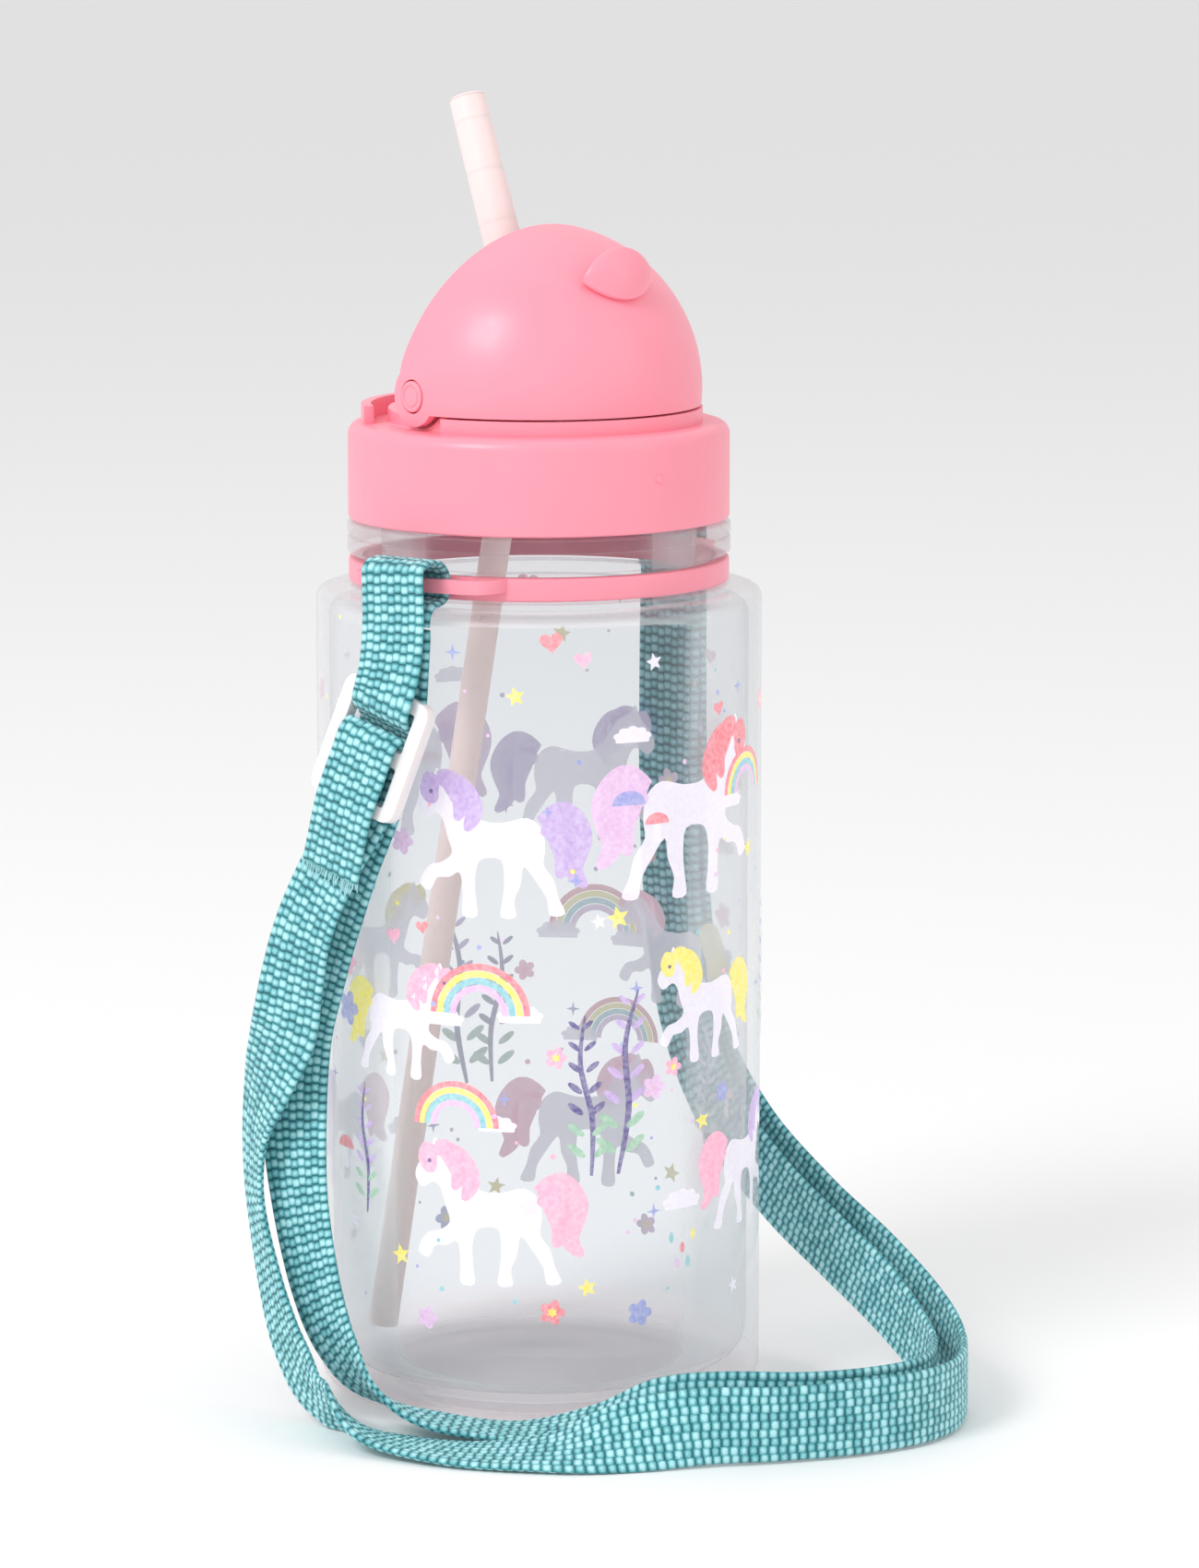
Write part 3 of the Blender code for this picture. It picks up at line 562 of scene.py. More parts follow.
@dataclass(frozen=True)
class Webbing:
    """Plain-woven polyester webbing: rows of plump knots along each rib, with a painted highlight on each
    crown and painted shade between them.

    The piece's UV map is in millimetres, across the strap and along it.
    """

    name: str = "teal_woven_polyester"
    rib: float = 12.5 / 9
    knot: float = 1.6
    stagger: float = 0.16
    crown: float = 2.4
    gap: float = 0.45
    # Dark to light: the painted shade between knots runs to the painted highlight on their crowns, with the
    # fibres and each knot's own tone.
    colours: tuple[str, ...] = ("0C5D66", "3B9AA2", "78C3CA", "B4EAEF")

    def steps(self) -> list[tuple]:
        """The sums behind the weave, in order: a name, an operation and its operands.

        Returns:
            Rows whose text operands are the names of earlier values.
        """
        rows = [
            ("across", "DIVIDE", "x", self.rib),
            ("rib", "FLOOR", "across"),
            ("odd", "FLOORED_MODULO", "rib", 2.0),
            ("stagger", "MULTIPLY", "odd", self.stagger),
            ("rows", "DIVIDE", "y", self.knot),
            ("along", "ADD", "rows", "stagger"),
            ("row", "FLOOR", "along"),
        ]
        for way in ("across", "along"):
            rows += [
                (f"{way}_part", "FRACT", way),
                (f"{way}_twice", "MULTIPLY", f"{way}_part", 2.0),
                (f"{way}_centred", "SUBTRACT", f"{way}_twice", 1.0),
                (f"{way}_off", "ABSOLUTE", f"{way}_centred"),
                (f"{way}_fall", "POWER", f"{way}_off", self.crown),
                (f"{way}_crown", "SUBTRACT", 1.0, f"{way}_fall"),
            ]
        return rows + [
            # Painted highlight and shade: the crown that shapes the bump also lightens the colour, and the
            # gaps between ribs and rows darken it.
            ("dips", "MULTIPLY", "across_crown", self.gap),
            ("ridges", "ADD", "dips", 1.0 - self.gap),
            ("plump", "MULTIPLY", "along_crown", "ridges"),
            ("fibre", "SUBTRACT", "strands", 0.5),
            ("fibre_tone", "MULTIPLY", "fibre", 0.7),
            ("knot_tone", "SUBTRACT", "own", 0.5),
            ("own_tone", "MULTIPLY", "knot_tone", 0.35),
            ("lit", "ADD", "plump", "fibre_tone"),
            ("tone", "ADD", "lit", "own_tone"),
            ("nap", "MULTIPLY", "strands", 0.25),
            ("relief", "ADD", "plump", "nap"),
        ]

    def material(self) -> bpy.types.Material:
        """Builds the material: a painted highlight on each knot's crown and painted shade between, its
        thread's fibres and its own tone.
        """
        mat, tree, output = blank(self.name)
        uv = add_node(tree, "ShaderNodeTexCoord").outputs["UV"]
        split = add_node(tree, "ShaderNodeSeparateXYZ", {0: uv})
        fibres = add_node(tree, "ShaderNodeMapping", {"Vector": uv, "Scale": (9.0, 2.2, 1.0)})
        threads = {"Vector": fibres.outputs[0], "Scale": 1.0, "Detail": 2.0}
        cell = add_node(tree, "ShaderNodeCombineXYZ")
        own = add_node(tree, "ShaderNodeTexWhiteNoise", {"Vector": cell.outputs[0]}, noise_dimensions="2D")
        value = {
            "x": split.outputs["X"],
            "y": split.outputs["Y"],
            "strands": add_node(tree, "ShaderNodeTexNoise", threads).outputs["Fac"],
            "own": own.outputs[0],
        }
        for name, operation, *operands in self.steps():
            ends = {i: value.get(operand, operand) for i, operand in enumerate(operands)}
            value[name] = add_node(tree, "ShaderNodeMath", ends, operation=operation).outputs[0]
        for i, name in enumerate(("rib", "row")):
            tree.links.new(value[name], cell.inputs[i])
        tone, relief = value["tone"], value["relief"]
        # The ramp turns the painted highlight and shade, the fibres and each knot's own tone into colour.
        ramp = add_node(tree, "ShaderNodeValToRGB", {"Fac": tone})
        stops = (0.08, 0.42, 0.74, 1.0)
        while len(ramp.color_ramp.elements) < len(stops):
            ramp.color_ramp.elements.new(0.5)
        for element, stop, colour in zip(ramp.color_ramp.elements, stops, self.colours):
            element.position = stop
            element.color = linear(colour)
        bump = add_node(tree, "ShaderNodeBump", {"Strength": 0.9, "Distance": 0.28 * MM, "Height": relief})
        shader = add_node(
            tree,
            "ShaderNodeBsdfPrincipled",
            {
                "Base Color": ramp.outputs["Color"],
                "Roughness": 0.62,
                "IOR": 1.5,
                "Sheen Weight": 0.25,
                "Normal": bump.outputs["Normal"],
            },
        )
        tree.links.new(shader.outputs["BSDF"], output.inputs["Surface"])
        return mat


@dataclass(frozen=True)
class StudioFloor:
    """A plain, pale paper sweep with a faint mottle."""

    name: str = "pale_paper"
    colour: str = "F4F4F4"

    def material(self) -> bpy.types.Material:
        """Builds the material."""
        mat, tree, output = blank(self.name)
        mottle = mottled(tree, 40 * MM, 0.0, 0.05)
        colour = add_node(
            tree, "ShaderNodeMix", {0: mottle, 6: linear(self.colour), 7: linear("EEEEEE")}, data_type="RGBA"
        )
        shader = add_node(
            tree,
            "ShaderNodeBsdfPrincipled",
            {
                "Base Color": colour.outputs[2],
                "Roughness": 0.75,
                "Emission Color": linear("FFFFFF"),
                "Emission Strength": 0.02,
            },
        )
        tree.links.new(shader.outputs["BSDF"], output.inputs["Surface"])
        return mat


class Finish(Enum):
    """The finishes that the pieces share."""

    PINK = MouldedPlastic("pink_moulded_polypropylene", "FF9AAC", "FB8FA2")
    WALL = ClearWall()
    # The thick parts take a deeper painted grey shade towards their edges.
    THICK = ClearWall("clear_copolyester_thick", "FDFAFB", "A9A6AC", 2.8, 0.5)
    # Each silicone piece's second colour is painted reflected colour and shade, deeper low down.
    STRAW = Silicone("milky_silicone", "F4E0DE", "F2B7B6")
    LOWER_STRAW = Silicone("blush_silicone_tube", "FFEEE9", "FBE2DC", 0.3, (0.10, 0.156))
    SEAL = Silicone("white_silicone_seal", "EFEDEA", "E9E3E0", 0.5, (0.158, 0.161))
    SLIDER = MouldedPlastic("frosted_acetal", "F3EDEE", "E9E2E4", 0.16, 0.4)
    STRAP = Webbing()

    def made(self) -> bpy.types.Material:
        """The finish's material, built the first time it is asked for."""
        found = bpy.data.materials.get(self.value.name)
        return found or self.value.material()


# ---------------------------------------------------------------------------
# Bottle
# ---------------------------------------------------------------------------


@dataclass
class Bottle:
    """The clear bottle: a straight body, a flat shoulder and a beaded neck with its thread."""

    radius: float = 37.5 * MM
    wall: float = 2.2 * MM
    shoulder: float = 136.5 * MM
    neck_radius: float = 28.6 * MM
    bore: float = 26.5 * MM
    mouth: float = 158.5 * MM
    bead: float = 32.2 * MM
    groove: float = 29.5 * MM
    foot: float = 30.5 * MM
    foot_width: float = 3.0 * MM
    push_up: float = 1.6 * MM
    base: float = 2.6 * MM
    thread_radius: float = 29.05 * MM
    thread_start: float = 149.9 * MM
    thread_turns: float = 1.5
    thread_bead: float = 0.75 * MM
    pitch: float = 4.0 * MM

    def profile(self) -> Outline:
        """The wall's section, from the floor's centre up the inside and down the outside."""
        floor, inner = self.push_up + self.base, self.radius - self.wall
        top = self.shoulder - self.wall
        rise = 0.5 * MM
        inside = rounded(
            [
                (0, floor, 0),
                (inner, floor, 6 * MM),
                (inner, top, 2.6 * MM),
                (self.bore, top + rise, 1.2 * MM),
                (self.bore, self.mouth, 0.7 * MM),
                (self.neck_radius, self.mouth, 0.7 * MM),
                (self.neck_radius, 148.0 * MM, 0.3 * MM),
                (self.bead, 147.6 * MM, 0.5 * MM),
                (self.bead, 145.7 * MM, 0.3 * MM),
                (self.bead - 0.8 * MM, 145.4 * MM, 0.1 * MM),
                (self.bead, 145.1 * MM, 0.3 * MM),
                (self.bead, 142.5 * MM, 0.5 * MM),
                (self.groove, 142.0 * MM, 0.3 * MM),
                (self.groove, 137.3 * MM, 0.4 * MM),
                (self.bead, 137.1 * MM, 0.2 * MM),
                (self.bead, self.shoulder, 0.4 * MM),
                (self.radius, self.shoulder, 2.0 * MM),
                (self.radius, 60 * MM, 0),
                (self.radius, 0, 7.5 * MM),
                (self.foot, 0, 0.8 * MM),
                (self.foot - self.foot_width, 0, 0.8 * MM),
                (self.foot - self.foot_width - MM, self.push_up, 0.8 * MM),
                (12 * MM, self.push_up, 0),
                (11.6 * MM, self.push_up + 0.25 * MM, 0),
                (0, self.push_up + 0.25 * MM, 0),
            ],
            7,
        )
        return inside

    def thread(self) -> bpy.types.Object:
        """The neck's right-handed thread, tapering into the wall at both ends."""
        per_turn = 48
        count = int(self.thread_turns * per_turn) + 1
        line, radii = [], []
        for i in range(count):
            turn = 2 * pi * i / per_turn
            height = self.thread_start + self.pitch * i / per_turn
            line.append(Vector((self.thread_radius * cos(turn), self.thread_radius * sin(turn), height)))
            radii.append(self.thread_bead * min(1.0, 0.3 + i / 8, 0.3 + (count - 1 - i) / 8))
        return tube("neck_thread", line, radii)

    def build(self) -> bpy.types.Object:
        """Builds the bottle, thick-walled at its neck and base, and puts it in its CAD node's place."""
        body = join("bottle_clear", [lathe("bottle_clear", self.profile(), 160), self.thread()])
        dress(smooth(body, 38), Finish.WALL.made(), Finish.THICK.made())
        low, high = self.base + self.push_up + 3.5 * MM, self.shoulder + 0.1 * MM
        for face in body.data.polygons:
            heights = [body.data.vertices[v].co.z for v in face.vertices]
            face.material_index = int(min(heights) > high or max(heights) < low)
        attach(body, "bottle")
        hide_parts("bottle_body")
        return body


# ---------------------------------------------------------------------------
# Cap
# ---------------------------------------------------------------------------


@dataclass
class Cap:
    """The pink screw cap: collar, deck, fixed dome, hood with its thumb tab, and the pivot pins."""

    pivot: Vector = field(default_factory=lambda: Vector((0, 0, 170)) * MM)
    collar: float = 32.05 * MM
    bore: float = 30.3 * MM
    low: float = 148.3 * MM
    ceiling: float = 160.6 * MM
    deck: float = 164.3 * MM
    pedestal: float = 166.8 * MM
    pedestal_radius: float = 25.3 * MM
    ledge: float = 27.5 * MM
    lip: tuple[float, float] = (28.1 * MM, 29.8 * MM)
    lip_top: float = 167.3 * MM
    hood_radius: float = 27.4 * MM
    hood_wall: float = 1.3 * MM
    dome_radius: float = 25.5 * MM
    dome_wall: float = 1.2 * MM
    edge: float = 167.1 * MM
    ear: float = 5.0 * MM
    cheek: float = 4.6 * MM
    pin: float = 2.6 * MM
    straw_y: float = -2.2 * MM
    straw_hole: float = 4.7 * MM
    tab_latitude: float = radians(44)

    def build_collar(self) -> bpy.types.Object:
        """The screw collar with the ledge under the open hood and the lip before the straw."""
        skirt = rounded(
            [
                (0, self.pedestal, 0),
                (self.pedestal_radius, self.pedestal, 0.5 * MM),
                (self.pedestal_radius, self.deck, 0.5 * MM),
                (self.collar, self.deck, 2.4 * MM),
                (self.collar, self.low, 0.5 * MM),
                (self.bore, self.low, 0.3 * MM),
                (self.bore, self.ceiling, 0.4 * MM),
                (0, self.ceiling, 0),
            ],
            7,
        )
        collar = lathe("screw_collar_shell", skirt, 160)
        sunk = self.deck - MM
        bands = (
            (self.pedestal_radius - MM, self.ledge, -90, 76, self.pedestal - 0.05 * MM),
            (*self.lip, 90, 62, self.lip_top),
        )
        below, above = Vector((0, self.straw_y, 159 * MM)), Vector((0, self.straw_y, 168 * MM))
        combine(collar, cylinder("straw_hole", self.straw_hole, below, above), "DIFFERENCE")
        for side in (-1, 1):
            near, far = (self.pivot + Vector((side * x * MM, 0, 0)) for x in (22.2, 28.0))
            combine(collar, cylinder("ear_notch", self.ear + 0.45 * MM, near, far, 64), "DIFFERENCE")
        solids = [collar, self.sight_dot()]
        for inner, outer, centre, half, top in bands:
            outline = arc_band(inner, outer, radians(centre), radians(half))
            band = soften(prism("collar_band", [outline], sunk, top), 0.4 * MM)
            for side in (-1, 1):
                near, far = (self.pivot + Vector((side * x * MM, 0, 0)) for x in (22.2, 28.0))
                combine(band, cylinder("ear_notch", self.ear + 0.45 * MM, near, far, 64), "DIFFERENCE")
            solids.append(band)
        join("screw_collar_shell", solids)
        dress(smooth(collar, 35), Finish.PINK.made())
        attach(collar, "cap")
        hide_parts("screw_collar")
        return collar

    def sight_dot(self) -> bpy.types.Object:
        """The small moulded dot on the collar's side that lines the cap up."""
        turn = radians(268)
        out = Vector((cos(turn), sin(turn), 0))
        at = out * (self.collar - 0.3 * MM) + Vector((0, 0, 157.2 * MM))
        return soften(cylinder("sight_dot", 0.7 * MM, at, at + out * 0.6 * MM, 24), 0.2 * MM)

    def outline(self, corners: Sequence[tuple[float, float]]) -> Outline:
        """A dome's front edge in its own plane, closed round the back."""
        line = [tuple(p) for p in flowing([(y * MM, z * MM) for y, z in corners], 8)]
        return [(-35 * MM, line[0][1]), *line, (-35 * MM, line[-1][1])]

    def shell(
        self, name: str, radius: float, wall: float, front: Outline, ear: float, tab: bool
    ) -> bpy.types.Object:
        """A part of a spherical shell behind a front outline, with round cheeks on the pivot axis.

        Args:
            name: The piece's name.
            radius: Its outer radius.
            wall: Its thickness.
            front: Its front edge and its back, in Y and Z.
            ear: The radius of its cheeks.
            tab: Whether it carries the thumb tab.

        Returns:
            The shell with its edges rounded.
        """
        shell = ball(name, radius, self.pivot)
        if tab:
            combine(shell, self.thumb_tab(), "UNION")
        combine(shell, ball("hollow", radius - wall, self.pivot), "DIFFERENCE")
        keep = prism("keep", [front], -40 * MM, 40 * MM)
        keep.matrix_world = Matrix(((0, 0, 1, 0), (1, 0, 0, 0), (0, 1, 0, 0), (0, 0, 0, 1)))
        settle(keep)
        reach = Vector((40 * MM, 0, 0))
        combine(keep, cylinder("cheeks", ear, self.pivot - reach, self.pivot + reach, 96), "UNION")
        combine(shell, keep, "INTERSECT")
        bore = cylinder("bore", self.pin + 0.25 * MM, self.pivot - reach * 1.1, self.pivot + reach * 1.1)
        combine(shell, bore, "DIFFERENCE")
        return smooth(shell, 30)

    def thumb_tab(self) -> bpy.types.Object:
        """The eyelid-shaped tab: a narrow shelf above a fuller, rounded lower face."""
        deselect_all()
        bpy.ops.mesh.primitive_uv_sphere_add(segments=64, ring_count=40, radius=1.0, rotation=(0, pi / 2, 0))
        tab = settle(bpy.context.object)
        tab.name = "thumb_tab"
        for vertex in tab.data.vertices:
            x, y, z = vertex.co
            narrow = (1 - min(1.0, abs(x)) ** 2.2) ** 0.35
            lift = z * 4.6 if z > 0 else z * 2.0
            depth = y * (4.6 if y < 0 else 2.2) + max(0.0, z) * 2.4
            vertex.co = (x * 7.4 * MM, depth * narrow * MM, lift * MM * (0.6 + 0.4 * narrow))
        out = Vector((0, -cos(self.tab_latitude), sin(self.tab_latitude)))
        turn = Matrix.Rotation(pi / 2 - self.tab_latitude - radians(4), 4, "X")
        tab.matrix_world = Matrix.Translation(self.pivot + out * (self.hood_radius + 0.35 * MM)) @ turn
        return face_outwards(settle(tab))

    def build_domes(self) -> list[bpy.types.Object]:
        """Builds the fixed dome and the hood that slides over it."""
        edge, top = self.edge / MM, 200.0
        inner = [(-35 * MM, self.edge), (1.2 * MM, self.edge), (1.2 * MM, top * MM), (-35 * MM, top * MM)]
        dome = self.shell("fixed_dome", self.dome_radius, self.dome_wall, inner, self.cheek, False)
        front = self.outline(
            [(2.0, edge), (3.6, 173.5), (1.7, 181.5), (-0.6, 190.0), (-2.5, 197.5), (-3.6, 202)]
        )
        hood = self.shell("sliding_hood", self.hood_radius, self.hood_wall, front, self.ear, True)
        for piece, body, node in ((dome, "cap", "inner_dome"), (hood, "hood", "hood")):
            dress(piece, Finish.PINK.made())
            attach(piece, body)
            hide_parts(node)
        return [dome, hood]

    def build_pins(self) -> list[bpy.types.Object]:
        """Builds the two headed pins, each with a fine groove round its end."""
        face, head = 27.55 * MM, 22.6 * MM
        profile = rounded(
            [
                (0, face, 0),
                (1.55 * MM, face, 0.05 * MM),
                (1.65 * MM, face - 0.18 * MM, 0.05 * MM),
                (1.85 * MM, face - 0.18 * MM, 0.05 * MM),
                (1.95 * MM, face, 0.05 * MM),
                (self.pin, face, 0.35 * MM),
                (self.pin, 23.7 * MM, 0),
                (self.pin + 0.4 * MM, 23.7 * MM, 0),
                (self.pin + 0.4 * MM, head, 0.15 * MM),
                (0, head, 0),
            ],
            4,
        )
        pins = []
        for side, name in ((-1, "left"), (1, "right")):
            pin = lathe(f"pin_{name}", profile, 64)
            pin.matrix_world = Matrix.Translation(self.pivot) @ Matrix.Rotation(side * pi / 2, 4, "Y")
            dress(smooth(settle(pin), 35), Finish.PINK.made())
            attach(pin, "cap")
            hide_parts(f"pivot_pin_{name}")
            pins.append(pin)
        return pins


# ---------------------------------------------------------------------------
# Straws
# ---------------------------------------------------------------------------


@dataclass
class Straws:
    """The folding silicone straw above the deck, and the thin one inside the bottle."""

    lean: float = radians(21.5)
    start: Vector = field(default_factory=lambda: Vector((0, -1.0, 167.4)) * MM)
    links: int = 6
    link: float = 9.0 * MM
    ends: tuple[float, float] = (3.5 * MM, 3.08 * MM)
    bore: float = 1.7 * MM
    top: Vector = field(default_factory=lambda: Vector((0, 8.0, 157.3)) * MM)
    tip: Vector = field(default_factory=lambda: Vector((-20.7, 17.4, 8.4)) * MM)
    lower: tuple[float, float] = (1.8 * MM, 2.5 * MM)

    @property
    def up(self) -> Vector:
        """The open straw's direction."""
        return Vector((0, sin(self.lean), cos(self.lean)))

    def radius(self, along: float) -> float:
        """The straw's outer radius at a distance from its foot, a little fuller at its mouth."""
        share = max(0.0, along) / (self.links * self.link)
        return self.ends[0] + (self.ends[1] - self.ends[0]) * share

    def section(self, low: float, high: float, first: bool, last: bool) -> bpy.types.Object:
        """A length of the straw, dense enough to bend smoothly.

        Args:
            low: Where it starts along the straw.
            high: Where it ends.
            first: Whether it is the foot; not used.
            last: Whether it is the mouth, which is rounded.

        Returns:
            The tube, in place.
        """
        rows = 14
        heights = [low + (high - low) * i / rows for i in range(rows + 1)]
        outside = [(self.radius(h), h) for h in heights]
        if last:
            rim = self.radius(high)
            outside[-1:] = arc((rim - 0.5 * MM, high - 0.5 * MM), 0.5 * MM, 0, 90, 5)
            inside = arc((self.bore + 0.75 * MM, high - 0.5 * MM), 0.5 * MM, 90, 180, 5)
            inside += [(self.bore, high - 3 * MM)]
        else:
            inside = [(self.bore, high)]
        inside += [(self.bore, h) for h in reversed(heights) if h < high - 3.2 * MM]
        tube_piece = lathe("straw_length", outside + inside, 48, closed=True)
        tube_piece.matrix_world = Matrix.Translation(self.start) @ Matrix.Rotation(-self.lean, 4, "X")
        return smooth(settle(tube_piece), 40)

    def build_upper(self) -> list[bpy.types.Object]:
        """Builds the straw in lengths from mid-link to mid-link, each spanning one joint."""
        bodies = ["cap"] + [f"upper_straw_{i + 1}" for i in range(self.links)]
        cuts = [-2.0 * MM] + [(i + 0.5) * self.link for i in range(self.links)] + [self.links * self.link]
        made = []
        for i, (low, high) in enumerate(zip(cuts, cuts[1:])):
            piece = self.section(low, high, i == 0, i == self.links)
            piece.name = f"soft_straw_{i + 1}"
            dress(piece, Finish.STRAW.made())
            if i < self.links:
                bend = self.start + self.up * self.link * i
                reach = self.up * (2.0 * MM if i == 0 else 4.0 * MM)
                bodies[i]
                bodies[i + 1]
                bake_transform(piece)
                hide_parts(bodies[i + 1])
            else:
                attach(piece, bodies[-1])
            made.append(piece)
        return made

    def build_lower(self) -> bpy.types.Object:
        """Builds the thin straw from the elbow down to the floor."""
        along = self.tip - self.top
        inner, outer = self.lower
        profile = rounded(
            [
                (inner, 0.4 * MM, 0),
                (inner, along.length, 0.3 * MM),
                (outer, along.length, 0.3 * MM),
                (outer, 0.4 * MM, 0),
            ]
        )
        straw = lathe("thin_straw", profile, 48, closed=True)
        straw.matrix_world = Matrix.Translation(self.top) @ along.to_track_quat("Z", "Y").to_matrix().to_4x4()
        dress(smooth(settle(straw), 40), Finish.LOWER_STRAW.made())
        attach(straw, "cap")
        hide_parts("lower_straw")
        return straw


# ---------------------------------------------------------------------------
# Strap
# ---------------------------------------------------------------------------


@dataclass
class StrapRing:
    """The pink ring that swivels round the neck, with a slotted bow on each side for the strap."""

    ring: tuple[float, float] = (29.8 * MM, 32.0 * MM)
    heights: tuple[float, float] = (137.7 * MM, 141.6 * MM)
    angle: float = radians(194.0)
    half: float = radians(27)
    slot_half: float = radians(17)
    bar: tuple[float, float] = (34.5 * MM, 36.3 * MM)
    bow_low: float = 139.3 * MM

    def bow(self, angle: float) -> bpy.types.Object:
        """One bow with its slot, about a direction."""
        count, line = 60, []
        for i in range(count + 1):
            offset = self.half * (2 * i / count - 1)
            rise = min(1.0, (1 - abs(offset) / self.half) / 0.3)
            foot = self.ring[1] - 0.4 * MM
            radius = foot + (self.bar[1] - foot) * sin(rise * pi / 2)
            line.append((radius * cos(angle + offset), radius * sin(angle + offset)))
        inner = self.ring[0] + 0.8 * MM
        back = [angle + self.half * (1 - 2 * i / count) for i in range(count + 1)]
        line += [(inner * cos(a), inner * sin(a)) for a in back]
        slot = arc_band(self.ring[1], self.bar[0], angle, self.slot_half, 24)
        piece = prism("bow", [line, slot], self.bow_low, self.heights[1] - 0.05 * MM)
        return soften(piece, 0.35 * MM)

    def build(self) -> bpy.types.Object:
        """Builds the ring and puts it in its CAD node's place."""
        (inner, outer), (low, high) = self.ring, self.heights
        profile = rounded(
            [
                (inner, (low + high) / 2, 0),
                (inner, high, 0.3 * MM),
                (outer, high, 0.5 * MM),
                (outer, low, 0.5 * MM),
                (inner, low, 0.3 * MM),
                (inner, (low + high) / 2 - 0.1 * MM, 0),
            ]
        )
        ring = lathe("neck_ring", profile, 160, closed=True)
        join("neck_ring", [ring] + [self.bow(self.angle + turn) for turn in (0, pi)])
        dress(smooth(ring, 35), Finish.PINK.made())
        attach(ring, "strap_ring")
        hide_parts("strap_ring")
        return ring


ROUTE_RIGHT = Vector((0.766, -0.643, 0))
ROUTE_AWAY = Vector((0.643, 0.766, 0))


def turned(direction: Sequence[float]) -> Vector:
    """A direction written to the right, away and up, in the object's frame."""
    right, away, up = direction
    return ROUTE_RIGHT * right + ROUTE_AWAY * away + Vector((0, 0, up))


